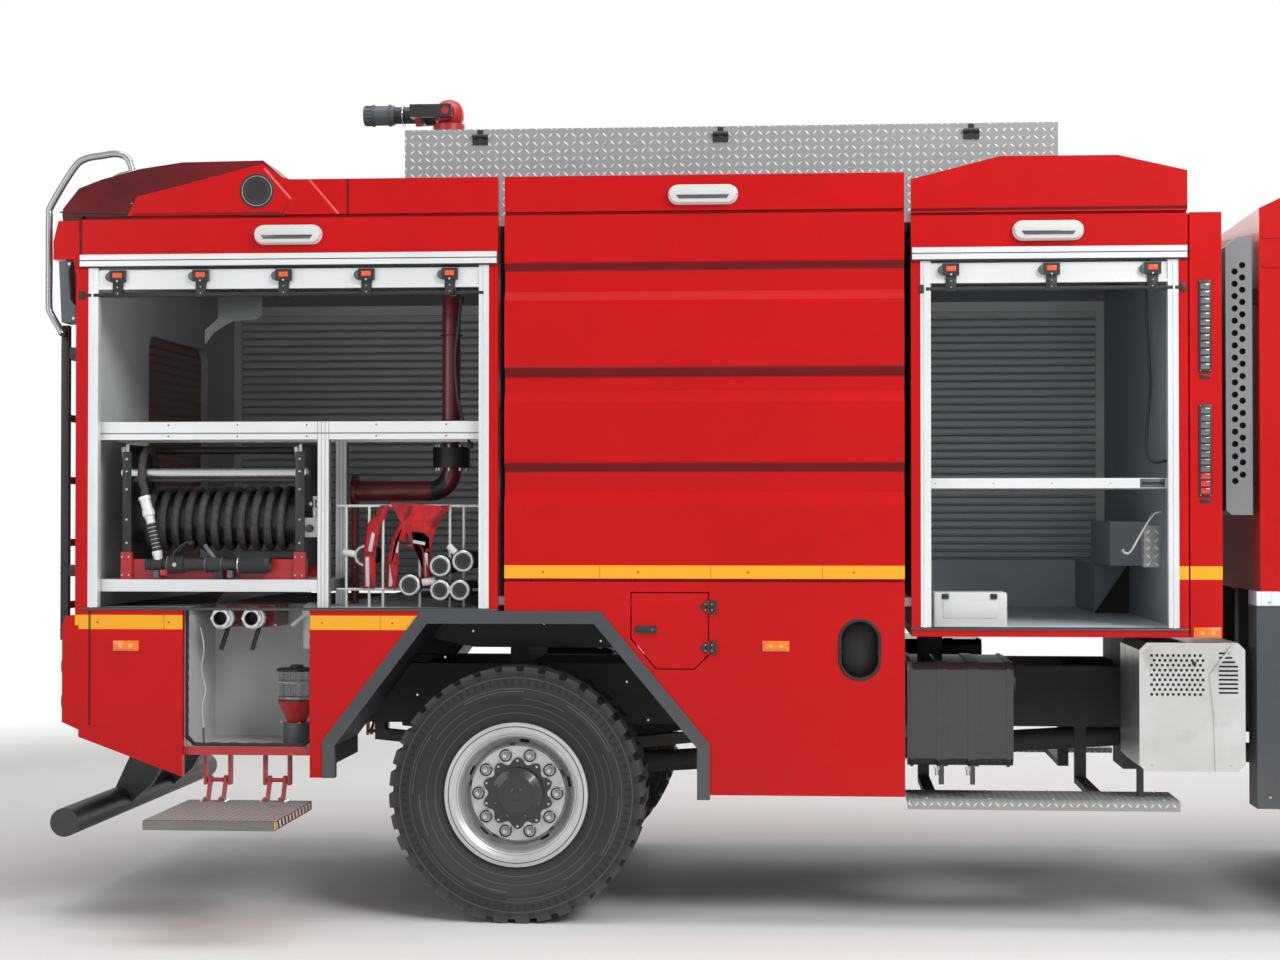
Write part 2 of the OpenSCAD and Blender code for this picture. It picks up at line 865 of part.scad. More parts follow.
// Outline of the small hatch, made smaller by d
module hatch_area(d) {
  polygon([
    [hatch_x0 + d, hatch_z1 - d], [hatch_x0 + d, hatch_z0 + 128 + d / 2],
    [hatch_x0 + 106 + d / 2, hatch_z0 + d], [hatch_x1 - 60 - d / 2, hatch_z0 + d],
    [hatch_x1 - d, hatch_z0 + 60 + d / 2], [hatch_x1 - d, hatch_z1 - d]
  ]);
}

// Outline of the oval opening in the centre panel, made smaller by d
module oval_area(d) {
  translate([1443, 1160]) {
    translate([0, 40])
      circle(r = 82 - d);
    translate([0, -40])
      circle(r = 82 - d);
    square([164 - 2 * d, 80], center = true);
  }
}

// Painted side panels of the front section and its corner pillars, both sides
module front_panels() {
  color("#b8151b")
    both()
      union() {
        slab(skin_y, side_y)
          difference() {
            polygon([[x_front0, front_under], [x_front1, front_under], [x_front1, 3141],
              [x_front0 + 850, 3207], [x_front0 + 367, 3208], [x_front0, 3116]]);
            opening_area(OPENINGS[1]);
            rect(x_front0 - 1, x_front1 + 1, seam_z - 20 - seam_h / 2, seam_z - 20 + seam_h / 2);
          }
        slab(skin_y, skin_y + 14)
          rect(x_front0, x_front1, seam_z - 40, seam_z);
        slab(skin_y - 60, side_y)
          rect(x_pillar0, x_pillar1, front_under, 2967);
        box(x_front1 - 1, x_pillar0 + 1, -skin_y - 20, -skin_y - 1, front_under, 2960);
        box(x_front1 + eps, x_pillar0 + 1, -skin_y - 2, -skin_y + 60, front_under, 2960);
      }
}

// Treaded deck over all three sections
module roof_deck() {
  color("#9aa0a4")
    union() {
      box(x_rear0, x_front1, -skin_y, skin_y, deck_z - wall, deck_z);
    }
}

// Streamlined hoods on the roof's rear corners, with the tinted covers
module roof_hoods() {
  color("#7d1216")
    both()
      union() {
        slab(skin_y - 260, skin_y - eps)
          hood_area();
        slab(skin_y - 260, skin_y - eps)
          rect(x_rear0, -985, deck_z, strip_z + 1);
        slab(skin_y - 1, side_y - 10)
          difference() {
            hood_area();
            polygon([[-1668, strip_z - 1], [-1625 - eps, 3078 + eps], [-1080, 3212 + eps],
              [-999, 3156 + eps], [-960, body_top], [-960, strip_z - 1]]);
          }
      }
}

// Dark trims round the rear wheel arches, with the liners behind them
module arch_trims() {
  color("#3b3f42")
    both()
      union() {
        slab(skin_y, side_y + trim_out)
          difference() {
            polygon(arch(eps));
            polygon(arch(trim_w));
            rect(-900, 0, 200, rear_under);
            rect(0, 900, 200, centre_under - 20);
          }
        slab(760, skin_y + 1)
          difference() {
            polygon(arch(trim_w - 6));
            polygon(arch(trim_w));
            rect(-900, 900, 200, rear_under + 60);
          }
      }
}

// Shutter guides, drip rails and, on the right side, the rolled-up bottom rails with their catches
module shutter_frames() {
  color("#c4c8ca")
    union() {
      both()
        for (o = OPENINGS) {
          slab(skin_y, side_y)
            difference() {
              opening_area(o, -eps);
              rect(o[OP_X0] + edge_w + guide_w, o[OP_X1] - edge_w - guide_w,
                o[OP_SILL] - 1, drip_z);
            }
          // Groove of each guide and the rib along it
          for (x = [o[OP_X0] + edge_w + 14, o[OP_X1] - edge_w - 22])
            slab(side_y - 1, side_y + 4)
              rect(x, x + 8, o[OP_SILL] + 1, drip_z);
          // Two bands of the drip rail
          for (z = [drip_z, drip_z + 27])
            slab(side_y - 1, side_y + 16)
              rect(o[OP_X0] + edge_w + 4, o[OP_X1] - edge_w - 4, z, z + 23 - eps);
          for (z = [drip_z, drip_z + 27])
            slab(side_y + eps, side_y + 16)
              rect(o[OP_X0] + 4, o[OP_X1] - 4, z, z + 23 - eps);
        }
      for (o = OPENINGS) {
        slab(side_y - 34, side_y - 8)
          rect(o[OP_X0] + edge_w + guide_w - 1, o[OP_X1] - edge_w - guide_w + 1, drip_z - 90, drip_z - 14);
        slab(side_y - 30, side_y - 2)
          rect(o[OP_X0] + edge_w + guide_w - 1, o[OP_X1] - edge_w - guide_w + 1, drip_z - 98, drip_z - 84);
        bar_x(o[OP_X0] + edge_w + 20, o[OP_X1] - edge_w - 20, -side_y + 6, drip_z - 122, 9);
      }
      for (c = CATCHES) {
        x = c[0] + c[1];
        slab(side_y - 9, side_y + 14)
          rect(x - 34, x + 34, drip_z - 66, drip_z - 18);
        slab(side_y - 16, side_y + 6)
          rect(x - 22, x + 22, drip_z - 132, drip_z - 60);
      }
    }
}

// Closed roller shutters of the left side and the rear, made of interlocking slats
module shutter_curtains() {
  color("#8e9396")
    union() {
      for (o = OPENINGS)
        translate([o[OP_X0] + edge_w + guide_w + eps, side_y - 26, 0])
          rotate([90, 0, 90])
            linear_extrude(o[OP_X1] - o[OP_X0] - 2 * (edge_w + guide_w + eps))
              curtain(o[OP_SILL] + eps, drip_z - eps);
      translate([x_rear0 - 1, rear_y0 + eps, 0])
        rotate([90, 0, 180])
          linear_extrude(rear_y1 - rear_y0 - 2 * eps)
            curtain(rear_z0 + eps, rear_z1 - eps);
    }
}

// Hose reel: side plates, base channels, drum and the roller bars in front of it
module hose_reel() {
  color("#202224")
    union() {
      for (x = [-1700, -945]) {
        slab(720, 1140)
          rect(x, x + 12, 1500, 2024);
        slab(1130, 1158)
          rect(x - 18, x + 30, 1444, 1562);
      }
      for (x = [-1694, -939]) {
        bar_y(-1150, -1080, x, 1901, 26);
        bar_to([x, -1138, 1901], [x - 22, -1110, 2010], 16);
      }
      bar_x(-1694, -939, -1130, 1901, 20);
      bar_x(-1694, -939, -1130, 1870, 9);
      bar_x(-1694, -939, -880, 2005, 17);
      bar_x(-1694, -939, reel_y, reel_z, drum_r);
      for (y = [-1140, -760])
        box(-1718, -915, y, y + 40, 1444, 1530);
      // Rests of the nozzle, gearbox of the drum and the switch box beside it
      for (x = [-1560, -1240])
        box(x, x + 22, -1206, -1139, 1452, nozzle_z - 24 - eps);
      bar_x(-934, -892, reel_y, reel_z, 46);
      box(-934, -866, -1130, -1070, 1625, 1708);
    }
}

// Hose wound on the reel, its free end and the nozzle in front
module reel_hose() {
  color("#262626")
    union() {
      for (i = [0:11])
        translate([-1644 + i * 58, reel_y, reel_z])
          rotate([0, 90, i % 2 * 5 - 2])
            rotate_extrude()
              translate([drum_r + eps + 19, 0])
                circle(r = 19, $fn = 10);
      tube_path([[-1644, reel_y, reel_z + 125], [-1560, -1050, 1950], [-1580, -1140, 1972],
        [-1620, -1182, 1909], [-1607, -1182, 1782], [-1574, -1182, 1677], [-1545, -1182, nozzle_z]], 21);
      bar_to([-1609, -1182, 1800], [-1586, -1182, 1715], 27);
      bar_x(-1600, -1060, -1182, nozzle_z, 24);
      for (h = [[-1500, 70, 37], [-1330, 60, 33], [-1190, 134, 36]])
        bar_x(h[0], h[0] + h[1], -1182, nozzle_z, h[2]);
      bar_to([-1300, -1182, nozzle_z + 10], [-1345, -1182, nozzle_z + 84], 14);
    }
}

// Pump pipes over and under the deck, with the monitor's riser and the fittings of the low pocket
module pump_pipes() {
  color("#6e1418")
    union() {
      bar_z(deck_z, monitor_z - 150, monitor_x, 0, 55);
      for (z = [[deck_z, 110], [monitor_z - 190, 92]])
        bar_z(z[0], z[0] + 24, monitor_x, 0, z[1]);
      bar_z(monitor_z - 151, monitor_z - 80, monitor_x, 0, 38);
      // Tank pipe of the rear bay: foot, flange, elbow and riser to the deck
      box(-800, -780, -740, -660, rear_sill, 1827);
      bar_x(-800, -780, -700, 1827, 70);
      bar_x(-781, -450, -700, 1827, 44);
      translate([-450, -700, 1920])
        rotate([90, 0, 0])
          rotate_extrude(angle = -90)
            translate([93, 0])
              circle(r = 44);
      bar_z(1919, deck_z - wall, -357, -700, 40);
      bar_z(1930, 2020, -357, -700, 82);
      for (i = [0:7])
        bar_z(1916, 2034, -357 + 66 * cos(i * 45), -700 + 66 * sin(i * 45), 8);
      for (x = OUTLETS) {
        difference() {
          union() {
            translate([x, -1080, outlet_z])
              rotate([90, 0, 0])
                cylinder(h = 34, r = 44, $fn = 6);
            bar_y(-1090, -side_y + pocket_deep - 20, x, outlet_z, 36);
            bar_y(-1062, -1040, x, outlet_z, 46);
          }
          bar_y(-1120, -1050, x, outlet_z, outlet_r);
        }
        bar_to([x + 16, -1020, outlet_z - 30], [x - 12, -1050, outlet_z - 138], 10);
      }
      box(-1350, -1090, -960, -side_y + pocket_deep - 20, 1232, 1330);
      // Filler bowl with its funnel and foot, and the valve over it
      translate([-975, -1040, pocket_floor]) {
        cylinder(h = 90, r = 58);
        translate([0, 0, 89])
          cylinder(h = 95, r1 = 38, r2 = 84);
        translate([0, 0, 183])
          cylinder(h = 130, r = 80);
      }
      bar_z(1140, 1300, -930, -970, 34);
      translate([-930, -970, 1300])
        sphere(r = 40);
      bar_y(-970, -side_y + pocket_deep - 20, -930, 1300, 34);
      bar_y(-1020, -970, -930, 1300, 24);
      bar_to([-930, -1012, 1300], [-1000, -1030, 1240], 9);
    }
}

// Shelves, posts and the wire rack with its suction hoses
module hose_rack() {
  color("#c4c8ca")
    union() {
      box(x_rear0 + wall, x_rear1 - wall, -1196, -1156, 2042, 2118);
      box(x_rear0 + wall, x_rear1 - wall, -825, -785, 2042, 2118);
      box(x_rear0 + wall, x_rear1 - wall, -1157, -784, 2100, 2112);
      box(x_rear0 + wall, -803, -1196, -700, 1393, 1444);
      box(-852, -803, -1196, -1156, rear_sill, 2043);
      box(-852, -803, -825, -785, rear_sill, 2043);
      box(x_front0 + wall, x_front1 - wall, -1190, -640, 1831, 1873);
      for (z = [1401, 1759])
        bar_x(-790, x_rear1 - wall, -rack_y, z, wire_r);
      for (x = [-750, -650, -590, -430, -300, -240, -125])
        bar_z(rear_sill, 1759, x, -rack_y, wire_r);
      // Suction hoses with their couplings
      for (h = HOSES) {
        bar_y(-h[3] + 34, -840, h[0], h[1], h[2] - 6);
        bar_y(-h[3], -h[3] + 94, h[0], h[1], h[2]);
      }
    }
}

// Tread-plate locker on the roof, an open box under its lid, with the fixed halves of the hinges
module roof_locker() {
  color("#aab0b3")
    union() {
      difference() {
        box(locker_x0, locker_x0 + locker_len, -locker_out, -locker_out + locker_w, deck_z,
          locker_top - lid_h);
        box(locker_x0 + sheet, locker_x0 + locker_len - sheet, -locker_out + sheet,
          -locker_out + locker_w - sheet, deck_z + sheet, locker_top);
      }
      for (x = LID_HINGES)
        at_lid_hinge(x)
          hinge_fixed(70, lid_hinge_r, 4, 36);
    }
}

// Lid of the roof locker, hinged along its outer edge
module locker_lid() {
  color("#aab0b3")
    union() {
      box(locker_x0, locker_x0 + locker_len, -locker_out, -locker_out + locker_w,
        locker_top - lid_h + eps, locker_top);
      for (x = LID_HINGES)
        at_lid_hinge(x)
          hinge_moving(70, lid_hinge_r, 4, 30);
    }
}

// Ladder on the rear face and the handrail loops over it
module ladder() {
  color("#1d1e20")
    union() {
      for (y = LADDER_Y)
        box(-1992, -1954, y - 14, y + 14, 1180, 2540);
      for (i = [0:4])
        bar_y(LADDER_Y[0], LADDER_Y[1], -1973, 1330 + i * rung_pitch, 14);
      for (y = LADDER_Y)
        for (z = [1210, 1480, 2420])
          box(-1956, z < 1290 ? -1945 - eps : x_rear0 - 16 - eps, y - 12, y + 12, z - 25, z + 25);
      for (r = RAILS) {
        tube_path([[-1973, r[0], 2500], [-2030, r[0], 2600], [-2030, r[0], 3040], [-1900, r[0], 3250],
          [-1730, r[0], 3275], [-1665, r[0], 3230], [-1665, r[0], r[1]]], 15);
        bar_y(r[2], r[3], -1973, 2500, 12);
      }
    }
}

// Rear skin with its shutter opening, lower apron and upper fairing
module rear_wall() {
  color("#b8151b")
    difference() {
      union() {
        box(x_rear0 - 16, x_rear0 - eps, -side_y, side_y, 1250, deck_z);
        translate([0, 0, 0])
          slab(-side_y + 4, side_y - 4) {
            polygon([[x_rear0 - eps, corner_z + 30], [-1945, corner_z + 62], [-1945, 1245],
              [-1930, 1290], [x_rear0 - eps, 1290]]);
            polygon([[x_rear0 - eps, 2640], [x_rear0 - 30, 2812], [-1990, 2812], [-1990, 2890], [-1968, deck_z],
              [x_rear0 - eps, deck_z]]);
          }
      }
      box(x_rear0 - 20, x_rear0 + 1, rear_y0, rear_y1, rear_z0, rear_z1);
    }
}

// Scene lights, light bars, side markers, the lamps of the tail and the front and the beacons
module lamps() {
  color("#d8d8d4")
    union() {
      both() {
        for (l = LIGHTS)
          slab(side_y, side_y + 44)
            union() {
              rect(l[0] - 105, l[0] + 105, l[1] - 42, l[1] + 42);
              for (s = [-105, 105])
                translate([l[0] + s, l[1]])
                  circle(r = 42);
            }
        for (z = [2497, 1985])
          slab(side_y, side_y + 12)
            difference() {
              rect(2832, 2884, z - 190, z + 190);
              for (i = [0:11])
                rect(2840, 2876, z - 178 + i * 30, z - 156 + i * 30);
            }
        for (z = [2497, 1985])
          slab(side_y, side_y + 6)
            rect(2838, 2878, z - 183, z + 183);
        for (m = MARKERS)
          slab(side_y, side_y + 14)
            rect(m[0] - 56, m[0] + 56, m[1] - 22, m[1] + 22);
        // Corner pods over the ladder and the lamps under it
        slab(side_y - 130, side_y - 6)
          polygon([[-1968, 2806], [-1908, 2806], [-1925, 2766], [-1916, 2640], [x_rear0 - 16, 2610],
            [x_rear0 - 16, 2542], [-1955, 2542]]);
        for (z = [860, 1010])
          box(-1962, -1945, -1190, -1010, z, z + 120);
        for (z = [920, 1070], y = [-1150, -1050])
          bar_x(-1970, -1961, y, z, 42);
        // Headlamps in the bumper
        box(bumper_x - 120, bumper_x - 46, -990 + eps, -690 - eps, 690 + eps, 860 - eps);
        for (y = [-910, -770])
          bar_x(bumper_x - 50, bumper_x - 30, y, 775, 62);
        // Beacons on the cab's roof
        bar_z(cab_top, cab_top + 30, beacon_x, -520, 95);
        bar_z(cab_top + 29, cab_top + 130, beacon_x, -520, 82);
        translate([beacon_x, -520, cab_top + 129])
          cylinder(h = 26, r1 = 82, r2 = 52);
      }
    }
}

// Outer outline of the cab in side view
function cab_outline(d) = [
  [x_cab0 + d, cab_low + d],
  [x_cab0 + d, cab_top_rear - 0.8 * d],
  [x_cab0 + 240 + 0.3 * d, cab_top - 40 - d],
  [x_cab0 + 620, cab_top - d],
  [x_cab1 - 420 - 0.3 * d, cab_top - d],
  [x_cab1 - 250 - 0.8 * d, cab_top - 110 - 0.6 * d],
  [x_cab1 - 60 - d, 2060],
  [x_cab1 - d, cab_low + 420],
  [x_cab1 - d, cab_low + d]
];

// Space between the door's frame edges in side view, made smaller by d
module door_area(d) {
  polygon([
    [door_x0 + d, door_z0 + d], [door_x1 - d, door_z0 + d], [door_x1 - d, 2080],
    [door_x1 - 150 - d, door_z1 - d], [door_x0 + d, door_z1 - d]
  ]);
}

// Window in the door, made smaller by d
module door_window(d) {
  polygon([
    [door_x0 + 90 + d, window_z0 + d], [door_x1 - 110 - d, window_z0 + d],
    [door_x1 - 215 - d, window_z1 - d], [door_x0 + 90 + d, window_z1 - d]
  ]);
}

// Fixed window behind the door, made smaller by d
module rear_window(d) {
  rect(x_cab0 + 330 + d, door_x0 - 130 - d, window_z0 + d, window_z1 - d);
}

// Hollow cab with its floor, its openings and the fixed halves of the door hinges
module cab_shell() {
  color("#b8151b")
    union() {
      difference() {
        slab(-cab_y, cab_y)
          polygon(cab_outline(0));
        slab(-cab_y + cab_wall, cab_y - cab_wall)
          polygon(cab_outline(cab_wall));
        slab(-cab_y - 1, cab_y + 1) {
          door_area(0);
          rear_window(0);
        }
        slab(-cab_y + 140, cab_y - 140)
          polygon([screen(0.1, -30), screen(0.1, 90), screen(0.95, 90), screen(0.95, -30)]);
      }
      // Bars of the grille and the two ribs along the roof's side
      for (i = [0:5])
        box(x_cab1 - 1, x_cab1 + 16, -640, 640, 1470 + i * 58, 1502 + i * 58);
      both()
        for (z = [2860, 2740])
          slab(cab_y - 1, cab_y + 6)
            rect(x_cab0 + 12, door_x0 - 60, z, z + 16);
      both()
        for (z = DOOR_HINGES)
          at_hinge(door_x1 - door_gap / 2, cab_y, z, door_hinge_r)
            hinge_fixed(90, door_hinge_r, 6, 52);
    }
}

// Windscreen and fixed side windows
module cab_glass() {
  color("#2c3436")
    union() {
      both()
        slab(cab_y - 30, cab_y - 30 + glass_t)
          rear_window(eps);
      slab(-cab_y + 140 + eps, cab_y - 140 - eps)
        polygon([screen(0.1003, 12), screen(0.1003, 12 + glass_t), screen(0.9497, 12 + glass_t),
          screen(0.9497, 12)]);
    }
}

// Seats, dashboard and steering wheel
module cab_interior() {
  color("#33363a")
    union() {
      for (y = [-700, 0, 700])
        for (x = [x_cab0 + 185, x_cab1 - 1110])
          slab_at(y, 440)
            polygon([[x, cab_low + cab_wall + eps], [x + 420, cab_low + cab_wall + eps],
              [x + 500, 1800], [x + 480, 1890], [x + 110, 1870], [x - 20, 2520],
              [x - 120, 2510], [x - 40, 1850]]);
      slab(-cab_y + 120, cab_y - 120)
        polygon([[x_cab1 - 250, cab_low + cab_wall + eps], [x_cab1 - 70, cab_low + cab_wall + eps],
          [x_cab1 - 70, 1820], [x_cab1 - 125, 2000], [x_cab1 - 150, 2040], [x_cab1 - 330, 2050], [x_cab1 - 370, 1980],
          [x_cab1 - 250, 1860]]);
      bar_to([x_cab1 - 300, 620, 1900], [x_cab1 - 470, 620, 2120], 28);
      translate([x_cab1 - 470, 620, 2120])
        rotate([0, -37, 0]) {
          rotate_extrude()
            translate([215, 0])
              circle(r = 15, $fn = 16);
          box(-215, 215, -16, 16, -8, 8);
        }
    }
}

// Fenders and entry steps under the cab
module cab_steps() {
  color("#3b3f42")
    both()
      slab(cab_y - 180, cab_y)
        difference() {
          rect(x_cab0 - 16, x_cab1 - 190, 513, cab_low);
          translate([wheelbase, tyre_r])
            circle(r = front_arch_r, $fn = 96);
          rect(wheelbase - front_arch_r, wheelbase + front_arch_r, 300, tyre_r);
          rect(x_cab1 - 640, x_cab1 - 260, 760, 1000);
          rect(x_cab1 - 640, x_cab1 - 260, 1090, 1330);
        }
}

// Front bumper, hollow behind its face, with the openings of its headlamps and its air slots
module front_bumper() {
  color("#b8151b")
    difference() {
      translate([0, 0, 450])
        linear_extrude(cab_low - 10 - 450)
          polygon([
            [x_cab1 - 190 + eps, -cab_y], [bumper_x - 150, -cab_y], [bumper_x - 40, -cab_y + 110],
            [bumper_x, -700], [bumper_x, 700], [bumper_x - 40, cab_y - 110],
            [bumper_x - 150, cab_y], [x_cab1 - 190 + eps, cab_y]
          ]);
      translate([0, 0, 500])
        linear_extrude(1000)
          polygon([
            [x_cab1 - 191, -cab_y + 50], [bumper_x - 170, -cab_y + 50], [bumper_x - 90, -cab_y + 130],
            [bumper_x - 50, -700], [bumper_x - 50, 700], [bumper_x - 90, cab_y - 130],
            [bumper_x - 170, cab_y - 50], [x_cab1 - 191, cab_y - 50]
          ]);
      both()
        box(bumper_x - 100, bumper_x + 1, -990, -690, 690, 860);
      for (i = [0:4])
        box(bumper_x - 60, bumper_x + 1, -560, 560, 700 + i * 62, 732 + i * 62);
      box(bumper_x - 22, bumper_x + 1, -620, 620, 1040, 1330);
    }
}

// Mirrors on both sides, with their arms
module mirrors() {
  color("#1d1e20")
    both()
      union() {
        box(x_cab1 - 190, x_cab1 - 110, -mirror_reach, -mirror_reach + 200, 2080, 2540);
        for (z = [2120, 2490])
          box(x_cab1 - 190, x_cab1 - 150, -mirror_reach + 190, -cab_y, z, z + 26);
      }
}

// Intake duct between the body and the cab, held by the cab's rear wall
module air_intake() {
  color("#6d7174")
    translate([x_cab0, 0, 0])
      difference() {
        union() {
          slab(1000, 1190)
            polygon([[-132, intake_z0 + 20], [-110, intake_z0], [-24, intake_z0], [-24, intake_z1],
              [-85, intake_z1], [-132, intake_z1 - 40]]);
          for (z = [intake_z0 + 130, intake_z1 - 270])
            box(-25, 0, -1150, -1040, z, z + 60);
        }
        for (i = [0:17], k = [0, 1])
          bar_y(-1200, -1150, -95 + k * 31, intake_z0 + 140 + i * 51 + k * 26, 13);
      }
}

// Cab door of the right side, with its grip
module door_shape() {
  color("#b8151b")
    union() {
      slab(cab_y - cab_wall, cab_y)
        difference() {
          door_area(door_gap);
          door_window(0);
        }
      slab(cab_y - 30, cab_y - 30 + glass_t)
        door_window(-1);
      for (x = [door_x0 + 70, door_x0 + 200])
        box(x, x + 22, -cab_y - 34, -cab_y + 1, 1940, 1964);
      box(door_x0 + 60, door_x0 + 232, -cab_y - 44, -cab_y - 26, 1934, 1970);
      for (z = DOOR_HINGES)
        at_hinge(door_x1 - door_gap / 2, cab_y, z, door_hinge_r)
          hinge_moving(90, door_hinge_r, 6, 52);
    }
}

module door_right() {
  door_shape();
}

module door_left() {
  mirror([0, 1, 0])
    door_shape();
}

// Two arms with eyes at each hinge and the platform of the right side, lowered
module flap_shape() {
  foot_z = flap_under + flap_t + eps;
  color("#b8151b")
    union() {
      box(pocket_x0 + flap_gap, pocket_x1 - flap_gap, -flap_reach, -flap_pivot_y - flap_in,
        flap_under, flap_under + flap_t);
      for (x = FLAP_HINGES, d = [-40, 26])
        difference() {
          union() {
            bar_x(x + d, x + d + 14, -flap_pivot_y, flap_pivot_z, 19);
            translate([x + d, 0, 0])
              rotate([90, 0, 90])
                linear_extrude(14)
                  polygon([
                    [-flap_pivot_y - 17, flap_pivot_z], [-flap_pivot_y + 12, flap_pivot_z],
                    [-flap_pivot_y - 28, foot_z], [-flap_pivot_y - flap_in - 60, foot_z],
                    [-flap_pivot_y - flap_in - 60, foot_z + 16], [-flap_pivot_y - flap_in - 8, foot_z + 18]
                  ]);
          }
          bar_x(x - 50, x + 50, -flap_pivot_y, flap_pivot_z, flap_pin_r + pin_fit);
        }
    }
}

module flap_right() {
  flap_shape();
}

// The left platform is folded up
module flap_left() {
  mirror([0, 1, 0])
    translate([0, -flap_pivot_y, flap_pivot_z])
      rotate([-90, 0, 0])
        translate([0, flap_pivot_y, -flap_pivot_z])
          flap_shape();
}

// Small hatch of the centre panel, with its latch
module hatch() {
  color("#b8151b")
    union() {
      slab(skin_y, side_y)
        hatch_area(hatch_gap);
      for (z = HATCH_HINGES)
        at_hinge(hatch_x1 - hatch_gap / 2, side_y, z, hatch_hinge_r)
          hinge_moving(56, hatch_hinge_r, 3.5, 34);
      slab(side_y - 1, side_y + 8)
        rect(hatch_x0 + 22, hatch_x0 + 110, hatch_z0 + 150, hatch_z0 + 182);
    }
}

// Turning body of the roof monitor, on the riser's spigot
module monitor_body() {
  color("#b8151b")
    difference() {
      union() {
        bar_z(monitor_z - 150 + eps, monitor_z - 50, monitor_x, 0, 78);
        translate([monitor_x, 0, monitor_z])
          sphere(r = 72);
        for (y = [-100, 76])
          bar_y(y, y + 24, monitor_x, monitor_z, 40);
        bar_y(-134, 134, monitor_x, monitor_z, 18);
      }
      bar_z(monitor_z - 151, monitor_z - 78, monitor_x, 0, 38 + pin_fit);
    }
}

// Barrel of the roof monitor, on the trunnions of the turning body
module monitor_barrel() {
  color("#4a4d50")
    difference() {
      union() {
        for (b = BARREL)
          bar_x(b[0], b[1], 0, monitor_z, b[2]);
        for (y = [-132, 106])
          box(monitor_x - 160, monitor_x + 30, y, y + 26, monitor_z - 30, monitor_z + 30);
        box(monitor_x - 170, monitor_x - 128, -132, 132, monitor_z - 30, monitor_z + 30);
      }
      bar_x(-900, -860, 0, monitor_z, 36);
      bar_y(-140, 140, monitor_x, monitor_z, 18 + pin_fit);
    }
}

// Point on the cab's front slope: t runs from its top to its foot, d goes inwards
function screen(t, d) = [
  x_cab1 - 250 + 190 * t - 0.981 * d,
  cab_top - 110 - (cab_top - 110 - 2060) * t - 0.192 * d
];

// Slab of a given width about one Y value
module slab_at(y, w) {
  translate([0, y, 0])
    slab(-w / 2, w / 2)
      children();
}

// Fixed half of a hinge along local Z, on a face at local y = r, with its leaf towards plus X
module hinge_fixed(len, r, pin, leaf) {
  cylinder(h = len, r = pin, center = true);
  for (s = [-1, 1]) {
    translate([0, 0, s * len * 0.34])
      cylinder(h = len * 0.3, r = r, center = true);
    translate([leaf / 2, r - 2.5, s * len * 0.34])
      cube([leaf, 7, len * 0.3], center = true);
  }
  translate([r + 3, r - 6, -len / 2 + 1])
    cube([leaf - r - 3, 7, len - 2]);
}

// Moving half of a hinge along local Z, with its leaf towards minus X
module hinge_moving(len, r, pin, leaf) {
  difference() {
    union() {
      cylinder(h = len * 0.34, r = r, center = true);
      translate([-leaf / 2, r - 2.5, 0])
        cube([leaf, 7, len * 0.34], center = true);
    }
    cylinder(h = len, r = pin + pin_fit, center = true);
  }
}

// Places a hinge with a vertical axis on a right-hand face, at a station, a distance and a height
module at_hinge(x, face, z, r) {
  translate([x, -face - r, z])
    children();
}

// Places a hinge of the locker's lid at a station
module at_lid_hinge(x) {
  translate([x, -locker_out - lid_hinge_r, locker_top - lid_h])
    rotate([0, 90, 0])
      children();
}

// Painted part of the strip over the rear section, with the side of its corner hood
module rear_strip() {
  polygon([[-1666, strip_z], [-1625, 3078], [-1080, 3212], [-999, 3156], [-960, body_top],
    [x_rear1, body_top], [x_rear1, strip_z]]);
}

// Side view of the corner hood with its tinted cover
module hood_area() {
  polygon([[-1951, strip_z], [-1951, 3030], [-1880, 3118], [-1780, 3155], [-1600, 3200],
    [-1430, 3224], [-1081, 3228], [-985, 3145], [-985, strip_z]]);
}

// Rear towing jaw under the apron, with the bore for its pin
module tow_jaw() {
  difference() {
    union() {
      box(x_rear0 + 30, x_rear0 + 60 - eps, -160, 160, 660, rail_top - 40);
      box(-2045, x_rear0 + 31, -70, 70, 685, 795);
    }
    box(-2050, -1960, -80, 80, 712, 768);
    bar_z(680, 800, -2013, 0, tow_bore_r);
  }
}

// Section of a curtain between two heights: a rounded bulge and a groove for each slat, on both faces
module curtain(z0, z1) {
  n = round((z1 - z0) / slat_h);
  p = (z1 - z0) / n;
  polygon(concat(
    [for (i = [0:n - 1], k = [[4, 0.05], [4, 0.12], [0, 0.25], [0, 0.8]]) [k[0], z0 + (i + k[1]) * p]],
    [[0, z1], [18, z1]],
    [for (i = [n - 1:-1:0], k = [[18, 0.8], [18, 0.25], [13, 0.12], [13, 0.05]]) [k[0], z0 + (i + k[1]) * p]],
    [[13, z0], [4, z0]]
  ));
}

// Section of a fuel tank, made larger by d
module tank_area(d) {
  polygon([
    [-1225 - d, 710 - d / 2], [-1195 - d / 2, 680 - d], [-640 + d / 2, 680 - d], [-610 + d, 710 - d / 2],
    [-610 + d, 1077 + d / 2], [-640 + d / 2, 1107 + d], [-1195 - d / 2, 1107 + d], [-1225 - d, 1077 + d / 2]
  ]);
}

// Tread outline of a tyre: a lug and a gap by turns, each lug a little wider at its foot
function tread_outline() = [
  for (i = [0:lug_count - 1], k = [[tread_r, -0.56], [tyre_r, -0.5], [tyre_r, 0.5], [tread_r, 0.56]])
    let (a = (lug_len / tyre_r * 180 / PI) * (k[1] + 0.5) + i * 360 / lug_count)
      k[0] * [cos(a), sin(a)]
];

// Strap bags that hang over the rack's upper wire
module strap_bags() {
  color("#c0141c")
    for (b = BAGS)
      slab(rack_y + wire_r + eps, rack_y + wire_r + 30)
        polygon(b);
}

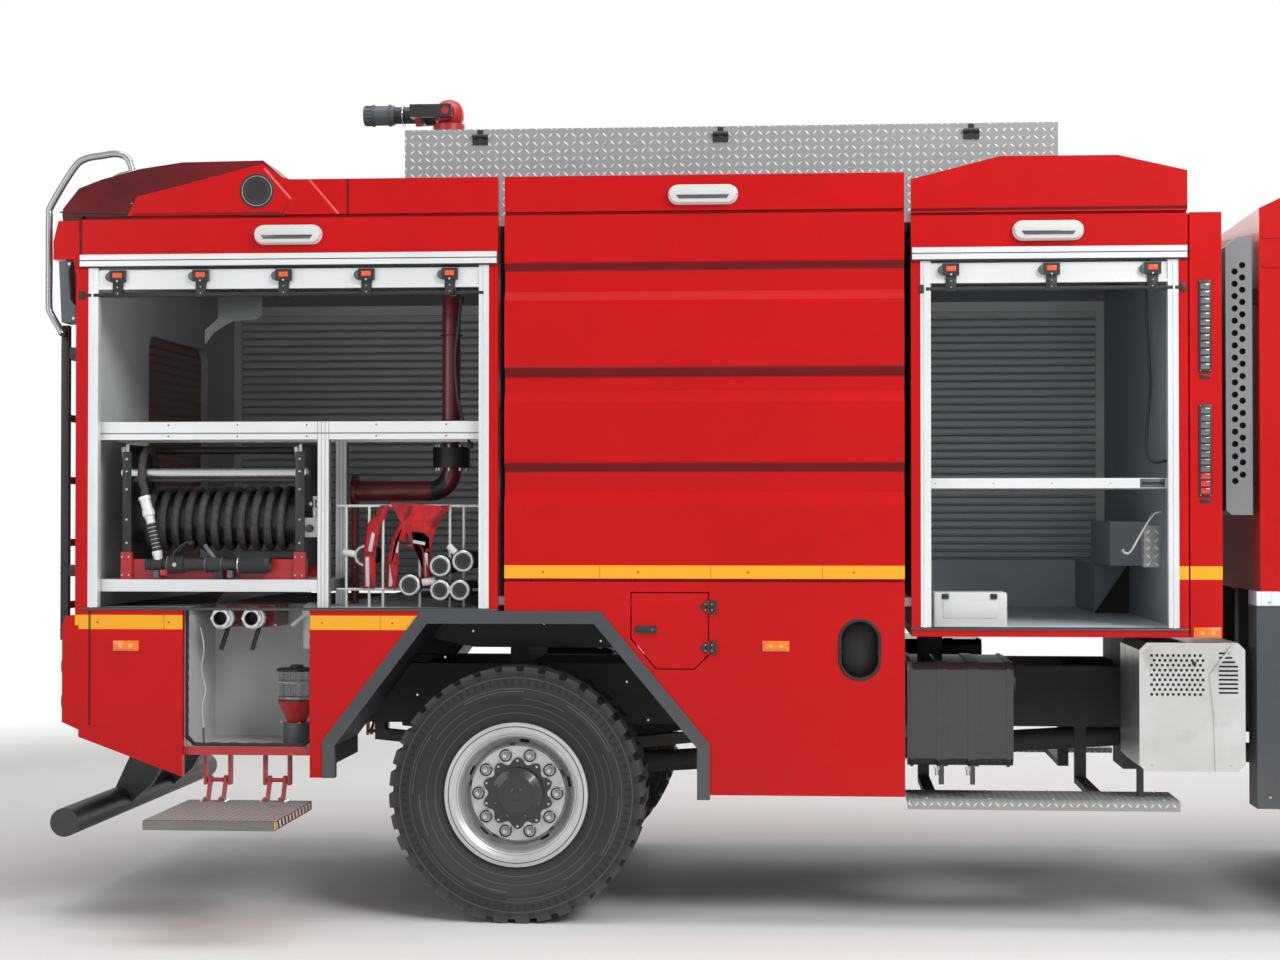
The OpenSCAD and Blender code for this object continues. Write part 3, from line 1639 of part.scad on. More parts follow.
in_frame() frame_rails();
in_frame() axles();
in_frame() engine();
in_frame() fuel_tanks();
in_frame() exhaust_box();
in_frame() running_boards();
in_frame() underrun_bar();
in_frame() body_structure();
in_frame() rear_panels();
in_frame() centre_panels();
in_frame() front_panels();
in_frame() roof_deck();
in_frame() roof_hoods();
in_frame() arch_trims();
in_frame() shutter_frames();
in_frame() shutter_curtains();
in_frame() hose_reel();
in_frame() reel_hose();
in_frame() pump_pipes();
in_frame() hose_rack();
in_frame() strap_bags();
in_frame() roof_locker();
in_frame() ladder();
in_frame() rear_wall();
in_frame() lamps();
in_frame() cab_shell();
in_frame() cab_glass();
in_frame() cab_interior();
in_frame() cab_steps();
in_frame() front_bumper();
in_frame() mirrors();
in_frame() air_intake();
in_frame() door_right();
in_frame() door_left();
in_frame() flap_right();
in_frame() flap_left();
in_frame() hatch();
in_frame() locker_lid();
in_frame() monitor_body();
in_frame() monitor_barrel();
in_frame() knuckle_right();
in_frame() knuckle_left();
in_frame() tyre_front_right();
in_frame() tyre_front_left();
in_frame() tyre_rear_right();
in_frame() tyre_rear_left();
in_frame() wheel_front_right();
in_frame() wheel_front_left();
in_frame() wheel_rear_right();
in_frame() wheel_rear_left();
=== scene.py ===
# Airport fire truck: finishes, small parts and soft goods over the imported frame
import itertools
import math
import bpy
import bmesh
from mathutils import Matrix, Vector


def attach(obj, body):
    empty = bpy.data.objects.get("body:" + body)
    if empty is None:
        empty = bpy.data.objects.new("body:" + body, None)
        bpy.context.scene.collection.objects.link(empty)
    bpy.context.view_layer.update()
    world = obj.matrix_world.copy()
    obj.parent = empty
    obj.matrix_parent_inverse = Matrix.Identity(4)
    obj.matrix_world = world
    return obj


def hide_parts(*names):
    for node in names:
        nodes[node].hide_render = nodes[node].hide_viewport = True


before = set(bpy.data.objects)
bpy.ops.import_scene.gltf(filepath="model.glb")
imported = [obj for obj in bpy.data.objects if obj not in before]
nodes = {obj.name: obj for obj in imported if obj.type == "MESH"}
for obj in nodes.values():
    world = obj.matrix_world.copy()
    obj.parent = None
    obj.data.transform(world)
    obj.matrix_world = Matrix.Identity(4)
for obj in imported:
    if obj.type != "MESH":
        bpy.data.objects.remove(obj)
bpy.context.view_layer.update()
print("frame loaded:", len(nodes), "nodes")

# The source's own axes (mm, rear axle and centre line) against the frame's metres
shiftX, shiftY = -1752.5, 190.0


def at(x, y, z):
    return Vector(((x + shiftX) / 1000, (y + shiftY) / 1000, z / 1000))


# Camera, as the photograph was taken
cameraLook = {"place": (1267, -10850, 1715), "turn": 4.4, "pitch": 0.9, "film": 36, "lens": 36 * 2300 / 1280,
              "reach": 200}
cameraData = bpy.data.cameras.new("photoCamera")
cameraData.lens = cameraLook["lens"]
cameraData.sensor_width = cameraLook["film"]
cameraData.clip_end = cameraLook["reach"]
camera = bpy.data.objects.new("photoCamera", cameraData)
camera.location = at(*cameraLook["place"])
camera.rotation_euler = (math.radians(90 + cameraLook["pitch"]), 0, math.radians(cameraLook["turn"]))
bpy.context.scene.collection.objects.link(camera)
bpy.context.scene.camera = camera

up, ahead, left, right = (0, 0, 1), (1, 0, 0), (0, 1, 0), (0, -1, 0)

# The piece in work: each helper below adds one closed form to it, in the source's millimetres, and
# finishShape makes it an object and starts the next one
work = {"mesh": bmesh.new(), "looks": []}


def absorb(part, look, soft=0.0, steps=2):
    if soft:
        bmesh.ops.bevel(part, geom=part.edges[:], offset=soft / 1000, segments=steps, profile=0.5,
                        affect="EDGES", material=-1, clamp_overlap=True)
    if look not in work["looks"]:
        work["looks"].append(look)
    for face in part.faces:
        face.material_index = work["looks"].index(look)
    data = bpy.data.meshes.new("part")
    part.to_mesh(data)
    part.free()
    work["mesh"].from_mesh(data)
    bpy.data.meshes.remove(data)


def box(xs, ys, zs, look, soft=0.0, steps=2):
    low, high = at(min(xs), min(ys), min(zs)), at(max(xs), max(ys), max(zs))
    place = Matrix.Translation((low + high) / 2) @ Matrix.Diagonal((*(high - low), 1))
    part = bmesh.new()
    bmesh.ops.create_cube(part, size=1, matrix=place)
    absorb(part, look, soft, steps)


def facing(foot, way):
    return Matrix.Translation(foot) @ Vector(way).to_track_quat("Z", "Y").to_matrix().to_4x4()


def rod(a, b, radius, look, sides=16, end=None, soft=0.0):
    a, b = at(*a), at(*b)
    part = bmesh.new()
    bmesh.ops.create_cone(part, cap_ends=True, segments=sides, radius1=radius / 1000, depth=(b - a).length,
                          radius2=(radius if end is None else end) / 1000, matrix=facing((a + b) / 2, b - a))
    absorb(part, look, soft)


def pins(places, step, radius, look, sides=16, **more):
    for place in places:
        rod(place, Vector(place) + Vector(step), radius, look, sides, **more)


def bolts(places, way, radius, height=4, look="steel", sides=8):
    pins(places, Vector(way) * height, radius, look, sides, end=radius * 0.75)


def grid(*axes):
    # Every place whose x, y and z stand in the given rows or are the given values
    return list(itertools.product(*[axis if hasattr(axis, "__iter__") else (axis,) for axis in axes]))


def circle(centre, axis, radius, count, start=0.0):
    one, two = {"x": (1, 2), "y": (0, 2), "z": (0, 1)}[axis]
    places = []
    for i in range(count):
        place = list(centre)
        turn = start + math.tau * i / count
        place[one] += radius * math.cos(turn)
        place[two] += radius * math.sin(turn)
        places.append(tuple(place))
    return places


def spinAll(part, geom, steps):
    bmesh.ops.spin(part, geom=geom, cent=(0, 0, 0), axis=(0, 0, 1), angle=math.tau, steps=steps,
                   use_merge=True)
    bmesh.ops.remove_doubles(part, verts=part.verts[:], dist=1e-6)
    bmesh.ops.recalc_face_normals(part, faces=part.faces[:])


def turned(foot, way, profile, look, sides=32):
    # profile: distance along the axis and radius, from one pole or rim to the other
    part = bmesh.new()
    verts = [part.verts.new((r / 1000, 0, d / 1000)) for d, r in [(profile[0][0], 0), *profile,
            (profile[-1][0], 0)]]
    spinAll(part, verts + [part.edges.new(pair) for pair in zip(verts, verts[1:])], sides)
    bmesh.ops.transform(part, matrix=facing(at(*foot), way), verts=part.verts[:])
    absorb(part, look)


def ring(centre, way, radius, thick, look, steps=40, sides=10):
    part = bmesh.new()
    place = Matrix.Translation((radius / 1000, 0, 0)) @ Matrix.Rotation(math.pi / 2, 4, "X")
    made = bmesh.ops.create_circle(part, segments=sides, radius=thick / 1000, matrix=place)["verts"]
    spinAll(part, made + part.edges[:], steps)
    bmesh.ops.transform(part, matrix=facing(at(*centre), way), verts=part.verts[:])
    absorb(part, look)


def thickPlate(outline, ys):
    # Plate from its x z outline, between two values of y
    part = bmesh.new()
    face = part.faces.new([part.verts.new(at(x, ys[0], z)) for x, z in outline])
    made = bmesh.ops.extrude_face_region(part, geom=[face])["geom"]
    move = at(0, ys[1], 0) - at(0, ys[0], 0)
    bmesh.ops.translate(part, verts=[v for v in made if isinstance(v, bmesh.types.BMVert)], vec=move)
    bmesh.ops.recalc_face_normals(part, faces=part.faces[:])
    return part


def slab(outline, ys, look, soft=0.0, steps=2):
    absorb(thickPlate(outline, ys), look, soft, steps)


def smoothLine(points, per=6):
    # Catmull-Rom line through the points
    out = []
    for i in range(len(points) - 1):
        p = [Vector(points[max(0, min(len(points) - 1, i + k))]) for k in (-1, 0, 1, 2)]
        for step in range(per):
            t = step / per
            out.append(0.5 * (2 * p[1] + (p[2] - p[0]) * t + (2 * p[0] - 5 * p[1] + 4 * p[2] - p[3]) * t * t
                              + (3 * p[1] - p[0] - 3 * p[2] + p[3]) * t ** 3))
    return out + [Vector(points[-1])]


def sweep(points, radius, sides):
    # Tube along points in metres, with each point's turn and distance kept in an attribute
    part = bmesh.new()
    layer = part.verts.layers.float_vector.new("cordPlace")
    rings, side, run = [], None, 0.0
    for i, point in enumerate(points):
        ahead = (points[min(i + 1, len(points) - 1)] - points[max(i - 1, 0)]).normalized()
        side = (side - ahead * side.dot(ahead)).normalized() if side else ahead.orthogonal().normalized()
        run += (point - points[i - 1]).length if i else 0.0
        place = Matrix.Translation(point) @ Matrix((side, ahead.cross(side), ahead)).transposed().to_4x4()
        made = bmesh.ops.create_circle(part, segments=sides, radius=radius, matrix=place)["verts"]
        for k, vert in enumerate(made):
            vert[layer] = (math.cos(math.tau * k / sides), math.sin(math.tau * k / sides), run)
        rings.append(made)
    for one, two in zip(rings, rings[1:]):
        for k in range(sides):
            part.faces.new((one[k - 1], one[k], two[k], two[k - 1]))
    part.faces.new(rings[0][::-1])
    part.faces.new(rings[-1])
    bmesh.ops.recalc_face_normals(part, faces=part.faces[:])
    return part, run


def pipe(points, radius, look, sides=10, per=6):
    line = [at(*p) for p in points]
    absorb(sweep(smoothLine(line, per) if per > 1 else line, radius / 1000, sides)[0], look)


def finishShape(name, body="truck", stands=(), sharp=35):
    for face in work["mesh"].faces:
        face.smooth = True
    data = bpy.data.meshes.new(name)
    work["mesh"].to_mesh(data)
    work["mesh"].free()
    data.set_sharp_from_angle(angle=math.radians(sharp))
    for look in work["looks"]:
        data.materials.append(finish[look])
    work.update(mesh=bmesh.new(), looks=[])
    piece = bpy.data.objects.new(name, data)
    bpy.context.scene.collection.objects.link(piece)
    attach(piece, body)
    if stands:
        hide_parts(*stands)
    print("piece:", name, len(data.polygons), "faces")
    return piece


# Routes of the free cords, repeated from the source
reelLook = {"radius": 125.3, "thick": 17, "pitch": 58, "turns": 11, "firstX": -1006, "y": -970, "z": 1706,
            "leave": 20, "rise": 170, "bend": 140, "per": 24}


def reelRoute():
    look = reelLook
    points = []
    lead = look["per"] // 3
    for i in range(-lead, look["turns"] * look["per"] + round(look["per"] * look["leave"] / 360) + 1):
        angle = math.tau * i / look["per"]
        radius = look["radius"] - (27 * (i / lead) ** 2 if i < 0 else 0)
        points.append((look["firstX"] - look["pitch"] * angle / math.tau,
                       look["y"] + radius * math.cos(angle), look["z"] + radius * math.sin(angle)))
    x, y, z = points[-1]
    leave = math.atan2(z - look["z"], y - look["y"])
    ahead = (-math.sin(leave), math.cos(leave))
    for step in (0.25, 0.5, 0.75, 1.0):
        points.append((x + 4 * step, y + ahead[0] * look["rise"] * step, z + ahead[1] * look["rise"] * step))
    x, y, z = points[-1]
    cy, cz = y - look["bend"] * math.cos(leave), z - look["bend"] * math.sin(leave)
    for i in range(1, 17):
        angle = leave + (math.pi - leave) * i / 16
        points.append((x + 18 * i / 16, cy + look["bend"] * math.cos(angle),
                       cz + look["bend"] * math.sin(angle)))
    for end in ((-1611, 1830), (-1609, 1800), (-1603.5, 1779), (-1598, 1759)):
        points.append((end[0], points[-1][1], end[1]))
    return [at(*p) for p in points]


cableRoute = [
    (2652, -1126, 2942), (2650, -1122, 2880), (2646, -1114, 2760), (2641, -1106, 2640), (2645, -1100, 2494),
    (2655, -1098, 2343), (2657, -1098, 2243), (2648, -1100, 2142), (2640, -1103, 2050), (2638, -1106, 2000),
    (2644, -1110, 1966), (2662, -1114, 1944), (2690, -1118, 1940), (2722, -1122, 1946), (2754, -1124, 1947),
]


# Shader helpers
class Field:
    # A value or colour that changes over a surface, so that a pattern reads as a plain sum
    def __init__(self, tree, socket):
        self.tree = tree
        self.socket = socket

    def calc(self, operation, other=0.0, clamp=False):
        return Field(self.tree, put(self.tree, "ShaderNodeMath", {0: self, 1: other}, operation=operation,
                                    use_clamp=clamp).outputs[0])

    def rise(self, low, high):
        # 0 below low, 1 above high; swapped for a falling edge
        return Field(self.tree, put(self.tree, "ShaderNodeMapRange", {"Value": self, "From Min": low,
                "From Max": high},
                                    interpolation_type="SMOOTHSTEP").outputs[0])

    def within(self, low, high, soft=0.0015):
        return self.rise(low - soft, low) * self.rise(high + soft, high)

    def __rsub__(self, other):
        return Field(self.tree,
                     put(self.tree, "ShaderNodeMath", {0: other, 1: self}, operation="SUBTRACT").outputs[0])


fieldWords = {"__add__": "ADD", "__sub__": "SUBTRACT", "__mul__": "MULTIPLY", "__truediv__": "DIVIDE",
              "above": "GREATER_THAN", "below": "LESS_THAN", "fract": "FRACT", "floor": "FLOOR",
              "size": "ABSOLUTE", "modulo": "FLOORED_MODULO", "root": "SQRT", "sine": "SINE",
              "angle": "ARCTAN2", "larger": "MAXIMUM"}
for word, operation in fieldWords.items():
    setattr(Field, word, lambda self, other=0.0, clamp=False, operation=operation: self.calc(operation, other,
            clamp))


def feed(tree, socket, value):
    value = value.socket if isinstance(value, Field) else value
    if isinstance(value, bpy.types.NodeSocket):
        tree.links.new(value, socket)
    elif socket.type == "RGBA":
        socket.default_value = (*value[:3], 1)
    else:
        socket.default_value = value


def put(tree, kind, inputs, **settings):
    node = tree.nodes.new(kind)
    for key, value in settings.items():
        setattr(node, key, value)
    for key, value in inputs.items():
        feed(tree, node.inputs[key], value)
    return node


def mix(factor, a, b, first, kind):
    tree = next(value.tree for value in (factor, a, b) if isinstance(value, Field))
    node = put(tree, "ShaderNodeMix", {0: factor, first: a, first + 1: b}, data_type=kind)
    return Field(tree, node.outputs[2 if kind == "RGBA" else 0])


def mixColor(factor, a, b):
    return mix(factor, a, b, 6, "RGBA")


def mixValue(factor, a, b):
    return mix(factor, a, b, 2, "FLOAT")


def vector(tree, operation, a, b=(0, 0, 0), output=0):
    return put(tree, "ShaderNodeVectorMath", {0: a, 1: b}, operation=operation).outputs[output]


def texture(tree, kind, place, scale, output=0, **more):
    return Field(tree, put(tree, "ShaderNodeTex" + kind,
                           {"Vector": place, "Scale": scale, **more}).outputs[output])


def split(tree, place):
    return [Field(tree, part) for part in put(tree, "ShaderNodeSeparateXYZ", {0: place}).outputs]


def objectPlace(tree):
    coords = put(tree, "ShaderNodeTexCoord", {}).outputs
    return coords["Object"], split(tree, coords["Object"]), coords["Normal"]


def newGroup(name, inputs, outputs):
    group = bpy.data.node_groups.new(name, "ShaderNodeTree")
    for label, value in inputs.items():
        kind = "NodeSocketVector" if isinstance(value, tuple) else "NodeSocketFloat"
        group.interface.new_socket(name=label, in_out="INPUT", socket_type=kind).default_value = value
    for label in outputs:
        group.interface.new_socket(name=label, in_out="OUTPUT", socket_type="NodeSocketFloat")
    start = group.nodes.new("NodeGroupInput").outputs
    return group, [Field(group, start[label]) for label in inputs]


def closeGroup(group, values):
    end = group.nodes.new("NodeGroupOutput")
    for label, value in values.items():
        feed(group, end.inputs[label], value)
    return group


def layer(tree, group, **inputs):
    outputs = put(tree, "ShaderNodeGroup", inputs, node_tree=group).outputs
    return [Field(tree, output) for output in outputs]


def makeGrain():
    group, (scale, stretch) = newGroup("surfaceGrain", {"Scale": 60.0, "Stretch": (1, 1, 1)}, ("Fine",
            "Broad"))
    place = objectPlace(group)[0]
    fine = texture(group, "Noise", vector(group, "MULTIPLY", place, stretch), scale, Detail=4.0)
    return closeGroup(group, {"Fine": fine, "Broad": texture(group, "Noise", place, 1.7, Detail=5.0,
            Roughness=0.6)})


def makeDust():
    # More dust low down and on faces that look up, broken up by noise
    group, (top, amount) = newGroup("roadDust", {"Top": 1.2, "Amount": 0.4}, ("Mask",))
    place, (x, y, z), normal = objectPlace(group)
    low = z.rise(top, 0.0)
    up = split(group, normal)[2].rise(0.55, 1.0)
    patch = texture(group, "Noise", place, 6.0, Detail=8.0, Roughness=0.65).rise(0.35, 0.75)
    total = (low * low + up * 0.35) * mixValue(0.55, patch, 1.0)
    return closeGroup(group, {"Mask": total.calc("MULTIPLY", amount, True)})


def makePlate():
    # Raised lozenges of chequer plate, laid out in the plane that a face lies in
    group, (pitch,) = newGroup("chequerPlate", {"Pitch": 0.03}, ("Mask",))
    place, (x, y, z), normal = objectPlace(group)
    facing = split(group, vector(group, "ABSOLUTE", normal))
    u = mixValue(facing[0].rise(0.5, 0.6), x, y) / pitch
    v = mixValue(facing[2].rise(0.5, 0.6), z, y) / pitch
    odd = (u.floor() + v.floor()).modulo(2.0)
    u, v = u.fract() - 0.5, v.fract() - 0.5
    s, t = ((u + v) * 0.7071).size(), ((v - u) * 0.7071).size()
    reach = mixValue(odd, s, t) / 0.56 + mixValue(odd, t, s) / 0.17
    return closeGroup(group, {"Mask": reach.rise(1.0, 0.55)})


def makeRound():
    # Distance from an axle and the turn round it, for tyres
    group, (axleX, axleZ) = newGroup("aboutAxle", {"Axle X": 0.0, "Axle Z": 0.54}, ("Radius", "Turn"))
    x, y, z = objectPlace(group)[1]
    x, z = x - axleX, z - axleZ
    return closeGroup(group, {"Radius": (x * x + z * z).root(), "Turn": z.angle(x) / math.tau})


def makeLine():
    # Mask along the line from A to B in side view
    group, (a, b, width) = newGroup("sideLine", {"A": (0, 0, 0), "B": (1, 0, 0), "Width": 0.004}, ("Mask",))
    flat = vector(group, "MULTIPLY", objectPlace(group)[0], (1, 0, 1))
    away, reach = vector(group, "SUBTRACT", flat, a), vector(group, "SUBTRACT", b, a)
    run = Field(group, vector(group, "DOT_PRODUCT", away, reach, 1))
    share = run.calc("DIVIDE", vector(group, "DOT_PRODUCT", reach, reach, 1), True)
    along = put(group, "ShaderNodeVectorMath", {0: reach, "Scale": share}, operation="SCALE").outputs[0]
    gap = Field(group, vector(group, "LENGTH", vector(group, "SUBTRACT", away, along), output=1))
    return closeGroup(group, {"Mask": gap.rise(width, width * 0.5)})


grain, dustLayer, plateLayer = makeGrain(), makeDust(), makePlate()
axleLayer, lineLayer = makeRound(), makeLine()
dustColor = (0.30, 0.27, 0.23)

# Every finish: colour, second colour, roughness, scale of its grain, bump in mm, dust and the height at
# which dust ends, then what differs from finishPlain
finishPlain = {"share": 0.35, "metal": 0.0, "coat": 0.0, "spec": 0.5, "stretch": (1, 1, 1)}
finishTable = {
    "bodyRed": ((0.52, 0.0012, 0.0025), (0.45, 0.001, 0.002), 0.32, 260, 0.06, 0.05, 1.1,
        {"coat": 0.12, "spec": 0.18}),
    "cabRed": ((0.5, 0.0012, 0.0025), (0.43, 0.001, 0.002), 0.3, 260, 0.05, 0.05, 1,
        {"coat": 0.15, "spec": 0.2}),
    "coverRed": ((0.15, 0.001, 0.004), (0.07, 0.0006, 0.002), 0.1, 14, 0.03, 0.04, 1,
        {"coat": 0.35, "spec": 0.3, "share": 0.5}),
    "pipeRed": ((0.2, 0.006, 0.01), (0.14, 0.004, 0.007), 0.3, 120, 0.2, 0.3, 1.4, {"coat": 0.5}),
    "fittingRed": ((0.5, 0.012, 0.014), (0.36, 0.01, 0.012), 0.38, 160, 0.2, 0.5, 1.2, {"coat": 0.3}),
    "blackPaint": ((0.014, 0.015, 0.017), (0.03, 0.03, 0.031), 0.38, 140, 0.1, 0.16, 1.2),
    "blackPlastic": ((0.014, 0.015, 0.016), (0.026, 0.027, 0.028), 0.5, 700, 0.2, 0.12, 1.2),
    "trimPlastic": ((0.045, 0.052, 0.06), (0.062, 0.07, 0.078), 0.58, 600, 0.2, 0.22, 1.5),
    "chassisPaint": ((0.028, 0.029, 0.031), (0.055, 0.05, 0.045), 0.6, 90, 0.4, 0.4, 1.3, {"share": 0.5}),
    "castIron": ((0.055, 0.055, 0.056), (0.09, 0.075, 0.06), 0.66, 180, 0.6, 0.7, 1.2,
        {"metal": 0.3, "share": 0.5}),
    "alloy": ((0.8, 0.82, 0.83), (0.7, 0.72, 0.73), 0.34, 90, 0.05, 0.3, 1.3,
        {"metal": 0.35, "stretch": (0.05, 1, 12)}),
    "dustyAlloy": ((0.62, 0.54, 0.52), (0.48, 0.41, 0.39), 0.6, 120, 0.1, 0.3, 1, {"metal": 0.3}),
    "palePaint": ((0.6, 0.62, 0.63), (0.5, 0.52, 0.53), 0.45, 220, 0.1, 0.4, 1.4),
    "shutterAlloy": ((0.3, 0.32, 0.33), (0.22, 0.235, 0.245), 0.42, 120, 0.08, 0.25, 1.6,
        {"metal": 0.6, "stretch": (0.05, 1, 8)}),
    "shutterInside": ((0.72, 0.75, 0.76), (0.62, 0.65, 0.66), 0.5, 120, 0.08, 0.2, 1.4,
        {"metal": 0.4, "stretch": (0.05, 1, 8)}),
    "exhaustAlloy": ((0.74, 0.74, 0.73), (0.6, 0.6, 0.58), 0.26, 40, 0.1, 0.35, 1.3,
        {"metal": 0.9, "stretch": (1, 1, 10)}),
    "wheelSilver": ((0.58, 0.6, 0.62), (0.44, 0.45, 0.45), 0.33, 110, 0.1, 0.5, 1, {"metal": 0.55}),
    "nutSteel": ((0.3, 0.3, 0.3), (0.19, 0.18, 0.165), 0.36, 300, 0.1, 0.3, 1, {"metal": 0.9}),
    "hubBlack": ((0.012, 0.012, 0.013), (0.03, 0.028, 0.026), 0.34, 120, 0.2, 0.08, 0.9, {"coat": 0.5}),
    "rubber": ((0.015, 0.015, 0.016), (0.028, 0.027, 0.026), 0.7, 300, 0.3, 0.09, 1),
    "edgeWorn": ((0.13, 0.12, 0.105), (0.22, 0.205, 0.185), 0.6, 60, 0.2, 0.3, 1, {"share": 0.5}),
    "greyRubber": ((0.085, 0.09, 0.095), (0.13, 0.13, 0.13), 0.8, 90, 1.2, 0.4, 1.4),
    "bracketGrey": ((0.1, 0.11, 0.12), (0.14, 0.15, 0.155), 0.45, 160, 0.1, 0.3, 1.2, {"metal": 0.5}),
    "intakeGrey": ((0.2, 0.215, 0.225), (0.16, 0.17, 0.18), 0.5, 300, 0.1, 0.3, 1.5),
    "lampShell": ((0.62, 0.63, 0.63), (0.52, 0.53, 0.53), 0.3, 200, 0.05, 0.2, 1.2, {"metal": 0.2}),
    "amber": ((0.9, 0.22, 0.01), (0.75, 0.15, 0.01), 0.18, 30, 0.05, 0.2, 1.2, {"coat": 0.8}),
    "tailRed": ((0.45, 0.005, 0.008), (0.35, 0.004, 0.006), 0.15, 30, 0.05, 0.2, 1.2, {"coat": 0.8}),
    "beaconBlue": ((0.01, 0.06, 0.6), (0.01, 0.04, 0.45), 0.12, 30, 0.05, 0.15, 1.2, {"coat": 0.8}),
    "orange": ((0.85, 0.1, 0.02), (0.7, 0.07, 0.02), 0.4, 200, 0.05, 0.2, 1.2),
    "clearLamp": ((0.78, 0.8, 0.82), (0.66, 0.68, 0.7), 0.08, 60, 0.1, 0.15, 1.2, {"metal": 0.35, "coat": 1}),
    # Painted shade and painted light inside the bays: bayShadeGrey is the pale paint darkened as shade,
    # litFloorGrey is lightened as if lit
    "bayShadeGrey": ((0.34, 0.37, 0.4), (0.27, 0.295, 0.32), 0.5, 220, 0.1, 0.3, 1.4),
    "litFloorGrey": ((0.8, 0.87, 0.93), (0.72, 0.78, 0.84), 0.42, 160, 0.1, 0.5, 1.5),
    "sillGrey": ((0.06, 0.064, 0.068), (0.09, 0.092, 0.095), 0.5, 160, 0.1, 0.4, 1.4, {"metal": 0.3}),
    "hoseRubber": ((0.03, 0.029, 0.028), (0.055, 0.051, 0.046), 0.72, 420, 0.3, 0.3, 1.5, {"share": 0.5}),
    "cableBlack": ((0.012, 0.012, 0.013), (0.022, 0.022, 0.023), 0.5, 300, 0.1, 0.2, 1.4),
    "strapRed": ((0.56, 0.008, 0.012), (0.4, 0.006, 0.01), 0.72, 380, 0.2, 0.15, 1.4, {"share": 0.45}),
    "strapDark": ((0.22, 0.006, 0.01), (0.16, 0.005, 0.008), 0.76, 380, 0.2, 0.15, 1.4),
    "tapeGrey": ((0.44, 0.46, 0.49), (0.34, 0.36, 0.39), 0.3, 500, 0.1, 0.15, 1.4),
    "brass": ((0.55, 0.34, 0.11), (0.42, 0.25, 0.08), 0.32, 260, 0.1, 0.2, 1.3, {"metal": 0.95}),
    "steel": ((0.62, 0.63, 0.64), (0.46, 0.46, 0.46), 0.26, 260, 0.05, 0.2, 1.2, {"metal": 0.95}),
    "railSteel": ((0.42, 0.43, 0.45), (0.34, 0.35, 0.37), 0.24, 90, 0.02, 0.05, 1.2, {"metal": 0.8}),
    "whitePlastic": ((0.62, 0.63, 0.62), (0.54, 0.55, 0.54), 0.4, 300, 0.1, 0.25, 1.3),
    "mirrorGlass": ((0.8, 0.82, 0.83), (0.74, 0.76, 0.77), 0.07, 30, 0.01, 0.1, 1, {"metal": 1}),
    "lensDark": ((0.05, 0.055, 0.06), (0.08, 0.085, 0.09), 0.12, 200, 0.2, 0.1, 1.2, {"coat": 1}),
    "cellWhite": ((0.16, 0.17, 0.18), (0.05, 0.052, 0.055), 0.16, 500, 0.6, 0.1, 1.2,
        {"metal": 0.3, "coat": 1, "share": 0.5}),
    "cellRed": ((0.62, 0.02, 0.02), (0.45, 0.03, 0.03), 0.16, 500, 0.4, 0.1, 1.2, {"coat": 1}),
    "yellowLens": ((0.9, 0.5, 0.02), (0.8, 0.38, 0.02), 0.2, 300, 0.2, 0.2, 1, {"coat": 0.8}),
    "edgeTape": ((0.62, 0.62, 0.6), (0.52, 0.52, 0.5), 0.4, 300, 0.1, 0.5, 1),
    "seatCloth": ((0.05, 0.052, 0.058), (0.035, 0.036, 0.04), 0.85, 420, 0.3, 0.1, 1.2),
    "knobGreen": ((0.01, 0.1, 0.05), (0.008, 0.06, 0.03), 0.35, 300, 0.05, 0.1, 1.1),
    "tankBlack": ((0.01, 0.01, 0.011), (0.02, 0.02, 0.021), 0.22, 90, 0.1, 0.14, 1.1, {"coat": 0.8}),
    "dashPlastic": ((0.045, 0.047, 0.05), (0.06, 0.062, 0.065), 0.65, 800, 0.3, 0.15, 1.2),
}

def makeFinish(name, extra=None, base=None):
    color, other, rough, scale, bump, dust, top, *more = finishTable[base or name]
    look = {**finishPlain, **(more[0] if more else {})}
    material = bpy.data.materials.new(name)
    material.use_nodes = True
    tree = material.node_tree
    fine, broad = layer(tree, grain, Scale=scale, Stretch=look["stretch"])
    dirt = layer(tree, dustLayer, Top=top, Amount=dust)[0]
    share = broad.rise(0.35, 0.7).calc("MULTIPLY", look["share"] * 2, True)
    state = {"color": mixColor(share, color, other), "rough": fine * 0.1 + (rough - 0.05),
             "height": fine * (bump / 1000)}
    if extra:
        extra(tree, state)
    paint(state, dirt, dustColor, 0.85)
    height = put(tree, "ShaderNodeBump",
                 {"Height": state["height"], "Distance": 1.0, "Strength": 0.6}).outputs[0]
    fillShader(tree, {"Base Color": state["color"], "Roughness": state["rough"], "Metallic": look["metal"],
                      "Normal": height, "Specular IOR Level": look["spec"], "Coat Weight": look["coat"],
                      "Coat Roughness": 0.05})
    return material


def fillShader(tree, inputs):
    for label, value in inputs.items():
        feed(tree, tree.nodes["Principled BSDF"].inputs[label], value)


def paint(state, mask, color, rough=None):
    state["color"] = mixColor(mask, state["color"], color)
    if rough is not None:
        state["rough"] = mixValue(mask, state["rough"], rough)


# Painted highlights and painted shade along the creases, and dark seams, of the side panels: line in side
# view, width and colour
bodyLines = [
    ((-1070, 3190, -957, 3061), 0.006, (0.75, 0.16, 0.15)), ((-957, 3061, -992, 3006), 0.005, (0.30, 0.003,
            0.005)),
    ((-884, 3149, -755, 2999), 0.006, (0.72, 0.13, 0.12)), ((-713, 2990, -713, 3150), 0.007, (0.02, 0.004,
            0.005)),
    ((-1640, 3002, -992, 3002), 0.007, (0.16, 0.003, 0.005)), ((-1962, 2988, 2790, 2988), 0.009,
            (0.02, 0.001, 0.002)),
    ((-1868, 2984, -1868, 2806), 0.009, (0.02, 0.001, 0.002)), ((-1824, 1325, -1824, 830), 0.007,
            (0.03, 0.001, 0.002)),
]


def along(x):
    return at(x, 0, 0).x


